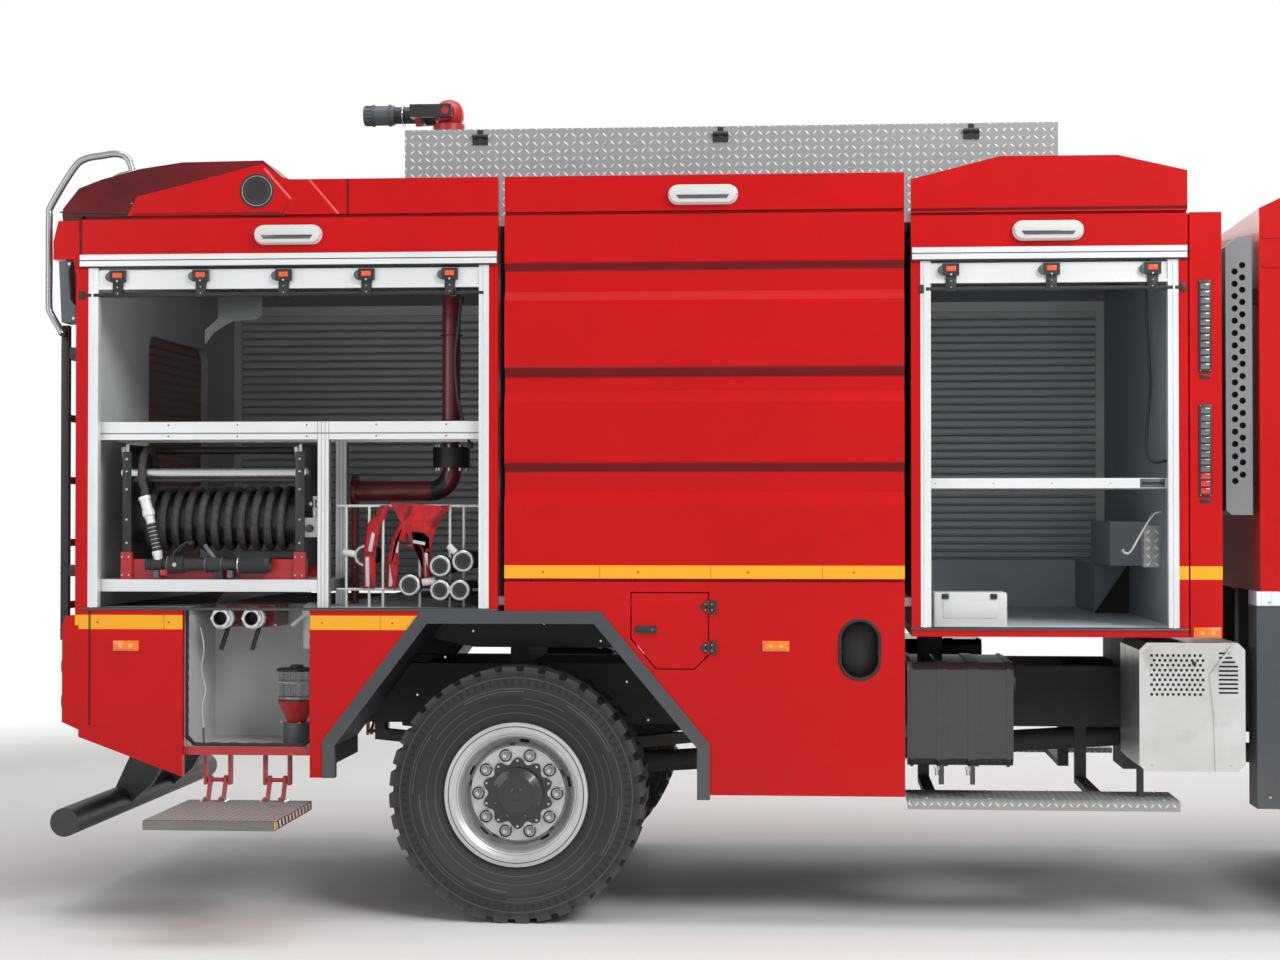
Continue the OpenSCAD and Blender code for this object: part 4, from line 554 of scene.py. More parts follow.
def bodyStripes(tree, state):
    # Yellow reflecting bands along the side, each with its joints
    place, (x, y, z), _ = objectPlace(tree)
    side = (y - shiftY / 1000).size()
    outer = side.rise(1.2475, 1.2485)
    rearEnd = x.rise(along(-60), along(-66))
    middle = x.rise(along(-66), along(-60)) * (1.0 - x.within(along(1640), along(2744)))
    both = (rearEnd * z.within(1.235, 1.294)) + (middle * z.within(1.455, 1.508))
    band = outer.calc("MULTIPLY", both, True)
    joint = (x * 2.15).fract().below(0.008)
    weave = texture(tree, "Checker", place, 180.0, 1)
    yellow = mixColor(weave * 0.18, (0.87, 0.40, 0.02), (0.72, 0.30, 0.015))
    paint(state, band, mixColor(joint * 0.6, yellow, (0.35, 0.14, 0.01)), 0.38)
    # Painted shade: the darker grey of the shaded bays on the skins' inner faces, up to the deck
    paint(state, side.within(1.2085, 1.2112, 0.0004) * z.rise(2.978, 2.976), (0.30, 0.325, 0.35))
    # Painted shade under the three ribs, then the painted highlights, painted crease shade and seams of
    # bodyLines
    ribs = side.rise(1.216, 1.220) * x.within(along(-44), along(1630))
    for low, high, soft in ((2.752, 2.776, 0.010), (2.304, 2.334, 0.012), (1.906, 1.934, 0.010)):
        paint(state, ribs * z.within(low, high, soft) * 0.78, (0.03, 0.0005, 0.001))
    for (x0, z0, x1, z1), width, tone in bodyLines:
        ends = {"A": (along(x0), 0, z0 / 1000), "B": (along(x1), 0, z1 / 1000)}
        line = layer(tree, lineLayer, Width=width, **ends)[0] * outer
        paint(state, line * 0.8, tone)
        state["height"] -= line * 0.0015


def platePattern(pitch, height):
    def add(tree, state):
        mask = layer(tree, plateLayer, Pitch=pitch)[0]
        state["height"] += mask * height
        # Painted shade: the flat plate between the raised lozenges is darkened and made rougher
        state["color"] = mixColor(mask, mixColor(0.75, state["color"], (0.17, 0.175, 0.18)), state["color"])
        state["rough"] = mixValue(mask, state["rough"] + 0.14, state["rough"])
    return add


def tyrePattern(axleX):
    # Moulded rings, a stepped line and short ribs on the side wall, with painted shade in the rib grooves and
    # lighter grey on the raised rings, the line and the tread
    def add(tree, state):
        radius, turn = layer(tree, axleLayer, **{"Axle X": axleX, "Axle Z": 0.54})
        ribs = (turn * 90.0).fract().above(0.62) * radius.within(0.462, 0.488)
        rings = radius.within(0.492, 0.495) + radius.within(0.448, 0.4505)
        rings = rings + (radius.within(0.343, 0.346) + radius.within(0.378, 0.380))
        edge = mixValue((turn * 6.0).fract().above(0.42), 0.408, 0.437)
        line = (radius - edge).within(-0.002, 0.002, 0.001)
        state["height"] += (rings + (line + ribs * -1.6)) * 0.0016
        paint(state, ribs * 0.85, (0.004, 0.004, 0.004))
        # Slots across the shoulder and a groove net on the tread face, with painted shade in them
        slot = (turn * 36.0 + 0.38).fract().below(0.3) * radius.rise(0.500, 0.504)
        across = ((objectPlace(tree)[1][1] - shiftY / 1000).size() - 1.0425).size()
        rounds = across.within(0.024, 0.034) + across.within(0.086, 0.094)
        net = slot.calc("ADD", rounds * radius.rise(0.532, 0.536), True)
        paint(state, net * 0.85, (0.004, 0.004, 0.004))
        state["height"] -= net * 0.006
        grey = (rings + line).calc("MULTIPLY", 0.75, True)
        paint(state, grey.calc("ADD", radius.rise(0.505, 0.54) * 0.35, True), (0.085, 0.08, 0.072))
    return add


def postSlots(tree, state):
    # Painted shade in the slots and grooves of the extruded profiles
    x, y, z = objectPlace(tree)[1]
    upright = (x * 61.0).fract().below(0.16) * x.within(along(-856), along(-799))
    paint(state, upright.calc("ADD", z.within(2.066, 2.071), True) * 0.75, (0.08, 0.085, 0.09))


def whiteBand(tree, state):
    x, y, z = objectPlace(tree)[1]
    cells = (x * 24.0).fract().above(0.04)
    paint(state, z.rise(1.346, 1.348), mixColor(cells, (0.45, 0.50, 0.60), (0.74, 0.78, 0.86)), 0.3)


def hosePattern(tree, state):
    # Wrap lines wound round a hose, sunk and darkened as painted shade, and its fine ribs, from the place
    # kept along it
    place = put(tree, "ShaderNodeAttribute", {}, attribute_name="cordPlace").outputs["Vector"]
    x, y, z = split(tree, place)
    line = (z * 26.0 + y.angle(x) / math.tau).fract().below(0.14)
    state["height"] += (z * 900.0).sine() * 0.0004
    state["height"] -= line * 0.0014
    paint(state, line * 0.55, (0.008, 0.008, 0.008))
    paint(state, texture(tree, "Noise", place, 9.0, Detail=6.0).rise(0.5, 0.72), (0.12, 0.11, 0.10))


def clothWeave(tree, state):
    place = objectPlace(tree)[0]
    state["height"] += texture(tree, "Checker", place, 620.0, 1) * 0.0005
    fold = texture(tree, "Noise", place, 22.0, Detail=4.0)
    state["height"] += fold * 0.006
    # Painted shade: the cloth is darker where the fold bump sinks
    paint(state, fold.rise(0.62, 0.4), mixColor(0.45, state["color"], (0.05, 0.002, 0.003)))


def tapeGrid(tree, state):
    paint(state, texture(tree, "Voronoi", objectPlace(tree)[0], 260.0).rise(0.5, 0.2), (0.62, 0.64, 0.68))


def edgeStripes(tree, state):
    # Black slanting bars on the platform's end
    x, y, z = objectPlace(tree)[1]
    paint(state, (y * 17.0 + z * 12.0).fract().above(0.5), (0.02, 0.02, 0.021))


def slatShade(tree, state):
    # Shadow line in the groove of every slat
    run = ((objectPlace(tree)[1][2] - 1.3253) / 0.0404).fract()
    paint(state, run.rise(0.22, 0.02) * 0.6, (0.02, 0.021, 0.023))


def panelSoot(tree, state):
    # Hot-air stain under the louvres and finger marks on the bare metal
    place, (x, y, z), _ = objectPlace(tree)
    noise = texture(tree, "Noise", place, 9.0, Detail=5.0)
    paint(state, noise.rise(0.5, 0.75) * (z.rise(0.9, 1.2) * 0.3 + 0.12), (0.20, 0.18, 0.16))
    state["rough"] += noise * 0.12


# What each finish adds to its base, and the finishes that share another one's colours
finishExtras = {
    "bodyRed": bodyStripes, "claddingGrey": whiteBand, "rackAlloy": postSlots, "hoseRubber": hosePattern,
    "chequerAlloy": platePattern(0.034, 0.0034), "chequerStep": platePattern(0.030, 0.003),
    "chequerDusty": platePattern(0.026, 0.0026),
    "rearTyre": tyrePattern(along(0)), "frontTyre": tyrePattern(along(4050)), "strapRed": clothWeave,
    "strapDark": clothWeave, "seatCloth": clothWeave, "tapeGrey": tapeGrid, "edgeTape": edgeStripes,
    "shutterInside": slatShade, "exhaustAlloy": panelSoot,
}
finishBases = {"claddingGrey": "trimPlastic", "rackAlloy": "alloy", "chequerAlloy": "alloy",
               "chequerStep": "alloy",
               "chequerDusty": "dustyAlloy", "rearTyre": "rubber", "frontTyre": "rubber"}
finish = {name: makeFinish(name, finishExtras.get(name), finishBases.get(name)) for name in [*finishTable,
        *finishBases]}


def makeGlass(name, tint, rough=0.02):
    material = bpy.data.materials.new(name)
    material.use_nodes = True
    tree = material.node_tree
    film = layer(tree, grain, Scale=8.0, Stretch=(1, 1, 1))[1].rise(0.45, 0.8) * 0.08
    fillShader(tree, {"Base Color": mixColor(film, tint, (0.6, 0.6, 0.58)), "Roughness": film + rough,
                      "Transmission Weight": 1.0, "IOR": 1.45})
    return material


finish["glass"] = makeGlass("cabGlass", (0.34, 0.40, 0.40))
finish["bowlGlass"] = makeGlass("bowlGlass", (0.85, 0.88, 0.88), 0.06)
print("finishes made:", len(finish))


# Puts finishes on a CAD node; the later rules win where a face's middle and normal pass their test
def dress(name, main, rules=()):
    mesh = nodes[name].data
    mesh.materials.clear()
    mesh.materials.append(finish[main])
    for index, (look, test) in enumerate(rules):
        mesh.materials.append(finish[look])
        for face in mesh.polygons:
            middle = face.center
            x, y, z = middle.x * 1000 - shiftX, middle.y * 1000 - shiftY, middle.z * 1000
            if test(x, y, z, face.normal):
                face.material_index = index + 1


catches = [-1705, -1345, -987, -632, -276, 1822, 2235, 2647]
outlets = [-1294, -1158]


def nearAny(value, places, reach):
    return any(abs(value - place) < reach for place in places)


def wheelRules(axleX):
    def radius(x, z):
        return math.hypot(x - axleX, z - 540)

    return [
        ("hubBlack", lambda x, y, z, n: abs(y) > 1134 and radius(x, z) < 124),
        ("hubBlack", lambda x, y, z, n: abs(y) < 1030 and radius(x, z) < 200),
        ("nutSteel", lambda x, y, z, n: abs(y) > 1042.5 + 103 and 148 < radius(x, z) < 188),
    ]


def isCatch(x, y, z, n):
    return nearAny(x, catches, 36) and 2640 < z < 2764 and (y < -1249 or (y < -1233 and abs(n.y) < 0.5
            and z < 2764))


doorRules = [
    ("glass", lambda x, y, z, n: 2055 < z < 2695 and 1185 < abs(y) < 1199),
    ("blackPaint", lambda x, y, z, n: abs(y) > 1221),
    ("dashPlastic", lambda x, y, z, n: abs(y) < 1177),
]
platformRules = [("chequerDusty", lambda x, y, z, n: n.z > 0.9 and y < -1165),
                 ("edgeWorn", lambda x, y, z, n: y < -1849)]
dressTable = {
    "frame_rails": ("chassisPaint", []), "axles": ("castIron", []), "engine": ("castIron", []),
    "fuel_tanks": ("tankBlack", []), "underrun_bar": ("blackPaint", []), "rear_panels": ("bodyRed", []),
    "front_panels": ("bodyRed", []), "roof_hoods": ("coverRed", []), "cab_glass": ("glass", []),
    "rear_wall": ("bodyRed", []), "cab_steps": ("claddingGrey", []), "knuckle_right": ("castIron", []),
    "knuckle_left": ("castIron", []), "monitor_body": ("fittingRed", []), "hatch": ("bodyRed", [
        ("blackPlastic", lambda x, y, z, n: y < -1250.5)]),
    "exhaust_box": ("exhaustAlloy", [
        ("chassisPaint", lambda x, y, z, n: y > -640),
        ("blackPlastic", lambda x, y, z, n: -1234 < y < -1215 and n.y < -0.5)]),
    "running_boards": ("chequerStep", [("chassisPaint", lambda x, y, z, n: abs(y) < 928 or 2599 < x < 2623)]),
    "body_structure": ("palePaint", [
        # Painted shade on the front bay and on the rear bay's rearward, downward and sill faces; painted
        # light on the front bay's floor, partition and upward faces
        ("bayShadeGrey", lambda x, y, z, n: 1650 < x < 2800 and z > 1260),
        ("litFloorGrey", lambda x, y, z,
         n: 1650 < x < 2800 and (z < 1260 or (1115 < y < 1165 and z < 1495) or n.z > 0.9)),
        ("bayShadeGrey", lambda x, y, z, n: x > -1700 and x < -60 and z > 1340 and (n.x < -0.5 or n.z < -0.5)),
        ("bayShadeGrey", lambda x, y, z, n: -1873 < x < -60 and 1288 < z < 1326 and abs(n.z) < 0.5),
        ("fittingRed", lambda x, y, z, n: z < 700 and x < -700),
        ("fittingRed", lambda x, y, z, n: z < 736 and x < -700 and abs(y) > 1205),
        ("chassisPaint", lambda x, y, z, n: z < 1336 and abs(y) < 680 and (n.z < -0.5 or abs(y) < 386)),
        ("chassisPaint", lambda x, y, z, n: n.z < -0.9 and z < 1345)]),
    "centre_panels": ("bodyRed", [("blackPlastic", lambda x, y, z, n: 815 < x < 860 and y < -1250.5)]),
    # Painted shade: the deck's downward faces get bayShadeGrey
    "roof_deck": ("chequerAlloy", [("palePaint", lambda x, y, z, n: n.z < 0.5), ("bayShadeGrey", lambda x, y, z,
            n: n.z < -0.5)]),
    "arch_trims": ("trimPlastic", [("blackPlastic", lambda x, y, z, n: abs(y) < 1209)]),
    "shutter_frames": ("alloy", [
        ("blackPlastic", isCatch),
        ("blackPaint", lambda x, y, z, n: z < 2669 and 2645 < z and not nearAny(x, catches, 36)),
        ("cableBlack", lambda x, y, z, n: 2776 < z < 2780.5 or 2802 < z < 2807.5)]),
    "shutter_curtains": ("shutterAlloy", [
        ("shutterInside", lambda x, y, z, n: n.y < -0.3), ("pipeRed", lambda x, y, z, n: x < -1860
                and n.x > 0.3)]),
    "hose_reel": ("blackPaint", [
        ("steel", lambda x, y, z, n: y < -1100 and 1878 < z < 2012 and -1690 < x < -943),
        ("palePaint", lambda x, y, z, n: y < -1090 and 1895 < z < 2030 and (x < -1690 or x > -943)),
        ("fittingRed", lambda x, y, z, n: z < 1563 and (y < -1128 or z < 1531) and not y < -1159),
        ("bracketGrey", lambda x, y, z, n: y < -1158 and z < 1490),
        ("whitePlastic", lambda x, y, z, n: x > -934 and 1620 < z < 1712 and y < -1065)]),
    "pump_pipes": ("pipeRed", [
        ("alloy", lambda x, y, z, n: x < -1080 and y < -1035 and z > 1220),
        ("cableBlack", lambda x, y, z, n: nearAny(x, outlets, 30) and y < -1045
         and math.hypot(x - min(outlets, key=lambda o: abs(o - x)), z - 1275) < 29.5),
        ("cableBlack", lambda x, y, z, n: x < -1100 and -1056 < y < -1000 and z < 1238),
        ("blackPaint", lambda x, y, z, n: -445 < x < -270 and z < 2036 and math.hypot(x + 357, y + 700) > 47),
        ("steel", lambda x, y, z, n: -445 < x < -270 and 1912 < z < 2036 and math.hypot(x + 357, y + 700) < 76
         and math.hypot(x + 357, y + 700) > 56 and not 1931 < z < 2019),
        ("bowlGlass", lambda x, y, z, n: -1060 < x < -890 and y < -950 and 919 < z < 1050),
        ("fittingRed", lambda x, y, z, n: -1060 < x < -890 and y < -950 and 820 < z < 919),
        ("bracketGrey", lambda x, y, z, n: -1060 < x < -890 and y < -950 and z <= 820),
        ("whitePlastic", lambda x, y, z, n: -1010 < x < -880 and y < -700 and 1138 < z < 1400),
        ("fittingRed", lambda x, y, z, n: z > 3000)]),
    "hose_rack": ("rackAlloy", [
        ("whitePlastic", lambda x, y, z, n: x > -790 and abs(y + 1090) < 7),
        ("rubber", lambda x, y, z, n: -720 < x < -180 and z < 1600 and y > -1186 and abs(y + 1090) > 7)]),
    "roof_locker": ("chequerAlloy", [("blackPaint", lambda x, y, z, n: y < -851)]),
    "locker_lid": ("chequerAlloy", [("blackPaint", lambda x, y, z, n: y < -851)]),
    "ladder": ("blackPaint", [("steel", lambda x, y, z, n: z > 2560)]),
    "cab_shell": ("cabRed", [
        ("blackPlastic", lambda x, y, z, n: x > 5489 and z < 1830), ("palePaint", lambda x, y, z,
                n: z < 1450 and n.z > 0.5),
        ("dashPlastic", lambda x, y, z, n: 3128 < x < 5447 and 1440 < z < 3100 and abs(y) < 1177),
        ("blackPaint", lambda x, y, z, n: abs(y) > 1221 and 5180 < x < 5275)]),
    "front_bumper": ("cabRed", [
        ("blackPlastic", lambda x, y, z, n: abs(y) < 991 and 689 < z < 1340
         and (x < 5549 or abs(n.x) < 0.5))]),
    "air_intake": ("intakeGrey", [("blackPlastic", lambda x, y, z, n: abs(y) < 1188)]),
    "door_right": ("cabRed", doorRules), "door_left": ("cabRed", doorRules),
    "flap_right": ("fittingRed", platformRules),
    "flap_left": ("fittingRed", [
        ("chequerDusty", lambda x, y, z, n: n.y < -0.9 and z > 620), ("bodyRed", lambda x, y, z,
                n: n.y > 0.9 and y > 1249)]),
    "monitor_barrel": ("blackPaint", [
        ("bracketGrey", lambda x, y, z, n: x < -742),
        ("fittingRed", lambda x, y, z, n: -645 < x < -600 and math.hypot(y, z - 3630) > 45)]),
}
for side in ("right", "left"):
    dressTable["tyre_front_" + side] = ("frontTyre", [])
    dressTable["tyre_rear_" + side] = ("rearTyre", [])
    dressTable["wheel_front_" + side] = ("wheelSilver", wheelRules(4050))
    dressTable["wheel_rear_" + side] = ("wheelSilver", wheelRules(0))
for name, (main, rules) in dressTable.items():
    dress(name, main, rules)
print("CAD nodes dressed:", len(dressTable))

# Hose on the reel: one cord from the drum over the roller, through the coupling to the nozzle's swivel
leadRoute = [(-1590, 1728), (-1580, 1688), (-1569, 1640), (-1558, 1592), (-1550, 1552)]
route = reelRoute() + [at(x, -1182, z) for x, z in leadRoute]
hosePart, hoseLength = sweep(route, reelLook["thick"] / 1000, 14)
absorb(hosePart, "hoseRubber")
reelHose = finishShape("reelHose", stands=("reel_hose",))

# Coupling and striped lead on the hose, and the nozzle on its rests
nozzleLook = {"y": -1182, "z": 1508, "coupling": ((-1609, 1800), (-1586, 1715)), "rear": -1600,
              "front": -1058, "bail": (-1465, -1290), "bailHigh": 92, "trigger": -1345}
(cx0, cz0), (cx1, cz1) = nozzleLook["coupling"]
ny, nz = nozzleLook["y"], nozzleLook["z"]
turned((cx0, ny, cz0), (cx1 - cx0, 0, cz1 - cz0), [(0, 19), (0, 25), (14, 27), (16, 23), (60, 23), (62, 27),
        (84, 27),
       (88, 22), (104, 19), (118, 19), (120, 14)], "alloy", 28)
for i in range(8):
    k = i / 7
    ring((-1583 + 28 * k, ny, 1700 - 118 * k), (0.23, 0, -1), reelLook["thick"] + 0.5, 1.7, "tapeGrey", 24, 6)
hoseCoupling = finishShape("hoseCoupling", stands=("reel_hose",))
turned((-1553, ny, 1566), (0.2, 0, -1), [(0, 14), (0, 22), (14, 22), (18, 20), (44, 20), (60, 14)], "alloy",
       24)
turned((nozzleLook["rear"], ny, nz), ahead, [(0, 20), (0, 24), (26, 24), (30, 28), (74, 28), (78, 22),
        (96, 22), (99, 36),
       (118, 37), (168, 37), (172, 30), (206, 28), (240, 26), (262, 26), (266, 33), (326, 33), (330,
               27), (392, 26), (404, 32),
       (410, 36), (524, 36), (532, 33), (542, 33), (542, 24), (528, 20)], "blackPlastic", 32)
for x in (-1502, -1432, -1336, -1268, -1194):
    ring((x, ny, nz), ahead, 29 if x in (-1432, -1268) else 35, 3.2, "bracketGrey" if x != -1194 else "steel",
         32, 8)
pins(circle((-1182, ny, nz), "x", 36, 24), (104, 0, 0), 2.4, "rubber", 6)
b0, b1 = nozzleLook["bail"]
for s in (-1, 1):
    pipe([(b0, ny + s * 36, nz), (b0 - 6, ny + s * 34, nz + 46),
          (b0 + 40, ny + s * 20, nz + nozzleLook["bailHigh"]),
                 (b0 + 60, ny, nz + nozzleLook["bailHigh"])], 5, "cableBlack", 10)
    rod((b0, ny + s * 24, nz), (b0, ny + s * 41, nz), 9, "steel", 14)
box((b0 + 50, b0 + 72, ), (ny - 22, ny + 22), (nz + nozzleLook["bailHigh"] - 9, nz + nozzleLook["bailHigh"]
        + 9), "rubber", 6)
rod((nozzleLook["trigger"] + 45, ny, nz + 22), (nozzleLook["trigger"], ny, nz + 84), 12, "bracketGrey", 16,
    end=10, soft=2)
box((-1300, -1262), (ny - 14, ny + 14), (nz - 62, nz - 24), "blackPlastic", 6)
box((-1530, -1500), (ny - 31, ny - 29), (nz - 46, nz - 22), "fittingRed", 0.4)
finishShape("hoseNozzle", stands=("reel_hose",))
print("hose:", round(hoseLength, 3), "m")

# Lamp lead that hangs in the front bay, from the ceiling into its front wall
cableLook = {"thick": 6}
route = smoothLine([at(*p) for p in cableRoute], 3)
cablePart, cableLength = sweep(route, cableLook["thick"] / 1000, 12)
absorb(cablePart, "cableBlack")
bayCable = finishShape("bayCable")
turned((2652, -1126, 2942), (0, 0, -1), [(0, 14), (4, 14), (6, 10), (34, 7)], "cableBlack", 16)
turned((2754, -1124, 1947), (-1, 0, 0), [(0, 14), (4, 14), (6, 10), (30, 7)], "cableBlack", 16)
cableGlands = finishShape("cableGlands")
print("lamp lead:", round(cableLength, 3), "m")

# Strap bags over the rack's wire: crowned slabs with sewn edges and reflecting strips
bagLook = {"back": -1096.6, "front": -1113, "crown": 4.5, "soft": 5}
bagOutlines = [
    [(-672, 1410), (-618, 1410), (-622, 1549), (-597, 1677), (-570, 1725), (-560, 1762), (-598, 1762),
     (-625, 1714), (-657, 1677), (-672, 1560)],
    [(-571, 1408), (-527, 1408), (-521, 1495), (-514, 1608), (-484, 1608), (-473, 1672), (-457, 1690),
     (-435, 1762), (-468, 1762),
     (-511, 1688), (-543, 1629), (-570, 1517)],
    [(-408, 1412), (-376, 1412), (-380, 1560), (-372, 1618), (-345, 1680), (-298, 1762), (-336, 1762),
     (-390, 1650), (-465, 1661),
     (-465, 1586), (-422, 1576)],
]
bagStrips = [
    [(-660, 1414), (-643, 1414), (-646, 1540), (-661, 1540)], [(-650, 1566), (-634, 1562), (-620, 1640),
            (-634, 1646)],
    [(-560, 1414), (-545, 1414), (-540, 1500), (-556, 1508)], [(-532, 1560), (-520, 1556), (-517, 1604),
            (-527, 1612)],
    [(-402, 1418), (-388, 1418), (-391, 1556), (-405, 1560)], [(-456, 1600), (-404, 1590), (-402, 1604),
            (-455, 1614)],
]
bagTops = [
    [(-622, 1716), (-598, 1722), (-578, 1758), (-596, 1758)], [(-505, 1694), (-478, 1700), (-452, 1758),
            (-468, 1758)],
    [(-380, 1668), (-358, 1672), (-316, 1758), (-336, 1758)],
]
for outline in bagOutlines:
    part = thickPlate(outline, (bagLook["front"], bagLook["back"]))
    bmesh.ops.bevel(part, geom=part.edges[:], offset=bagLook["soft"] / 1000, segments=3, profile=0.5,
                    affect="EDGES", material=-1)
    front = [f for f in part.faces if f.normal.y < -0.9]
    for step in range(2):
        bmesh.ops.inset_region(part, faces=front, thickness=0.0035, depth=bagLook["crown"] / 2000,
                               use_even_offset=True)
    absorb(part, "strapRed")
for outline in bagStrips:
    slab(outline, (bagLook["front"] - bagLook["crown"] - 0.5, bagLook["front"] - 2), "tapeGrey", 0.6)
for outline in bagTops:
    slab(outline, (bagLook["front"] - bagLook["crown"] - 0.4, bagLook["front"] - 2), "strapDark", 0.8)
for x0, z0, x1, z1 in ((-668, 1556, -624, 1552), (-566, 1516, -524, 1512), (-402, 1570, -382, 1568)):
    slab([(x0, z0 - 7), (x1, z1 - 7), (x1, z1 + 7), (x0, z0 + 7)],
         (bagLook["front"] - 6.2, bagLook["front"] - 2), "strapDark", 1)
strapBags = finishShape("strapBags", stands=("strap_bags",))

# Hose ends in the rack: ribbed collars, lugs, and black discs in the mouths as painted shade
rackHoses = [(-670, 1545, 43, 1090), (-458, 1422, 42, 1184), (-229, 1524, 43, 1184), (-327, 1503, 42, 1184),
             (-327, 1401, 40, 1184), (-243, 1401, 40, 1184)]
for x, z, r, mouth in rackHoses:
    for dy in (40, 52, 64):
        ring((x, -mouth + dy, z), left, r, 3.2, "blackPlastic", 36, 8)
    turned((x, -mouth + 30, z), right, [(0, r + 1), (24, r + 1), (27, r + 3), (33, r + 3), (36, r - 1),
            (36, r - 8), (31.5, r - 9)], "steel", 36)
    # Painted shade: a black disc standing in for the dark inside each bore
    rod((x, -mouth - 2.2, z), (x, -mouth + 3, z), r - 8.5, "cableBlack", 28)
    ring((x, -mouth - 2.6, z), left, r - 14, 1.4, "bracketGrey", 32, 6)
    for turn in (0.6, 0.6 + math.pi):
        lx, lz = x + (r - 3) * math.cos(turn), z + (r - 3) * math.sin(turn)
        rod((lx, -mouth - 5, lz), (lx, -mouth + 3, lz), 6, "steel", 12, soft=1)
for a, b, r in (((-712, -1090, 1552), (-764, -1096, 1560), 15), ((-410, -1150, 1432), (-352, -1146, 1440),
        16), ((-262, -1180, 1560), (-292, -1176, 1590), 14)):
    rod(a, b, r, "whitePlastic", 20, soft=2)
finishShape("hoseFittings")

# Lamps on the body, tail, bumper and cab roof
lampLook = {"out": 1250, "capsule": 36, "half": 105, "round": 42, "cells": 12}


def capsuleLine(x, z, half, radius, steps=10):
    turns = [math.pi * (i / steps - 0.5) for i in range(steps + 1)]
    end = [(x + half + radius * math.cos(turn), z + radius * math.sin(turn)) for turn in turns]
    return end + [(2 * x - px, 2 * z - pz) for px, pz in end]


def offSkin(s, near, far):
    return (s * (lampLook["out"] + near), s * (lampLook["out"] + far))


for s in (-1, 1):
    for x, z in ((-968, 2909), (793, 3061), (2221, 2897)):
        slab(capsuleLine(x, z, lampLook["half"], lampLook["round"]), offSkin(s, -2, 8), "lampShell", 2)
        slab(capsuleLine(x, z, lampLook["half"] - 2, lampLook["round"] - 4),
             offSkin(s, 6, lampLook["capsule"]), "whitePlastic", 9, steps=4)
        lens = [(x - 112, z - 4), (x - 100, z - 21), (x + 100, z - 21), (x + 112, z - 4)]
        slab(lens, offSkin(s, 20, lampLook["capsule"] + 3), "lensDark", 2.5)
        bolts([(x + d, s * (lampLook["out"] + 8), z) for d in (-143, 143)], (0, s, 0), 3, 2)
    for z in (2497, 1985):
        box((2832, 2884), offSkin(s, -2, 8), (z - 190, z + 190), "blackPlastic", 3)
        for i in range(lampLook["cells"]):
            low = z - 178 + i * 30
            red = z == 1985 and i < 3
            box((2839, 2877), offSkin(s, 4, 11.5), (low, low + 23), "cellRed" if red else "cellWhite", 2.4)
        bolts([(x, s * (lampLook["out"] + 8), z + d) for x in (2838, 2878) for d in (-184, 184)], (0, s, 0),
              3, 2.4)
        box((2836, 2880), offSkin(s, -2, 2.5), (z - 218, z - 200), "blackPlastic", 1)
    for x, z in ((-1665, 1164), (1096, 1174), (2864, 1236)):
        box((x - 56, x + 56), offSkin(s, -2, 7), (z - 22, z + 22), "amber", 2)
        box((x - 48, x + 48), offSkin(s, 5, 13), (z - 16, z + 16), "amber", 3)
        pins(grid(range(x - 40, x + 41, 10), s * 1262.5, z - 13), (0, 0, 26), 1.6, "amber", 8)
        pins(grid((x - 22, x + 22), s * 1256, z), (0, s * 8, 0), 8, "yellowLens", soft=1)
    slab([(-1968, 2806), (-1908, 2806), (-1925, 2766), (-1916, 2640), (-1888, 2610), (-1888, 2542),
          (-1955, 2542)],
         (s * 1120, s * 1244), "bracketGrey", 5)
    bolts([(-1920, s * 1243.5, 2793), (-1901, s * 1243.5, 2560)], (0, s, 0), 8, 4, sides=10)
    for low in (860, 1010):
        box((-1962, -1945), (s * 1010, s * 1190), (low, low + 120), "blackPlastic", 4)
        for y in (1050, 1150):
            turned((-1961, s * y, low + 60), (-1, 0, 0), [(0, 44), (5, 44), (8, 40), (9, 30)], "tailRed"
                   if y == 1150 else "amber", 28)
            ring((-1961, s * y, low + 60), ahead, 44, 2, "lampShell", 28, 6)
            for r in (12, 22, 32):
                ring((-1969.5, s * y, low + 60), ahead, r * 0.85, 0.9, "tailRed" if y == 1150 else "amber",
                     24, 6)
    box((5430, 5504), (s * 690, s * 990), (690, 860), "blackPlastic", 8)
    for y in (770, 910):
        turned((5500, s * y, 775), ahead, [(0, 64), (12, 64), (20, 58), (20, 50), (4, 46), (4, 12), (9, 9),
                (10, 2)], "lampShell", 32)
        turned((5504, s * y, 775), ahead, [(0, 52), (11, 52), (15, 40), (17, 20)], "clearLamp", 32)
    bolts([(5504, s * y, z) for y in (706, 974) for z in (704, 846)], ahead, 5, 3)
    y = s * 520
    turned((4560, y, 3138), up, [(0, 98), (4, 98), (8, 95), (30, 93), (34, 86)], "blackPlastic", 40)
    turned((4560, y, 3168), up, [(0, 82), (6, 82), (100, 79), (122, 68), (136, 44), (140, 12)], "beaconBlue",
           40)
    for z in (3190, 3214, 3238, 3262):
        ring((4560, y, z), up, 81.5 - (z - 3168) * 0.03, 2, "beaconBlue", 40, 6)
    bolts([(4560 + 90 * math.cos(a), y + 90 * math.sin(a), 3166) for a in (0.5, 2.1, 3.7, 5.3)], up, 4, 4)
finishShape("lampSet", stands=("lamps",))

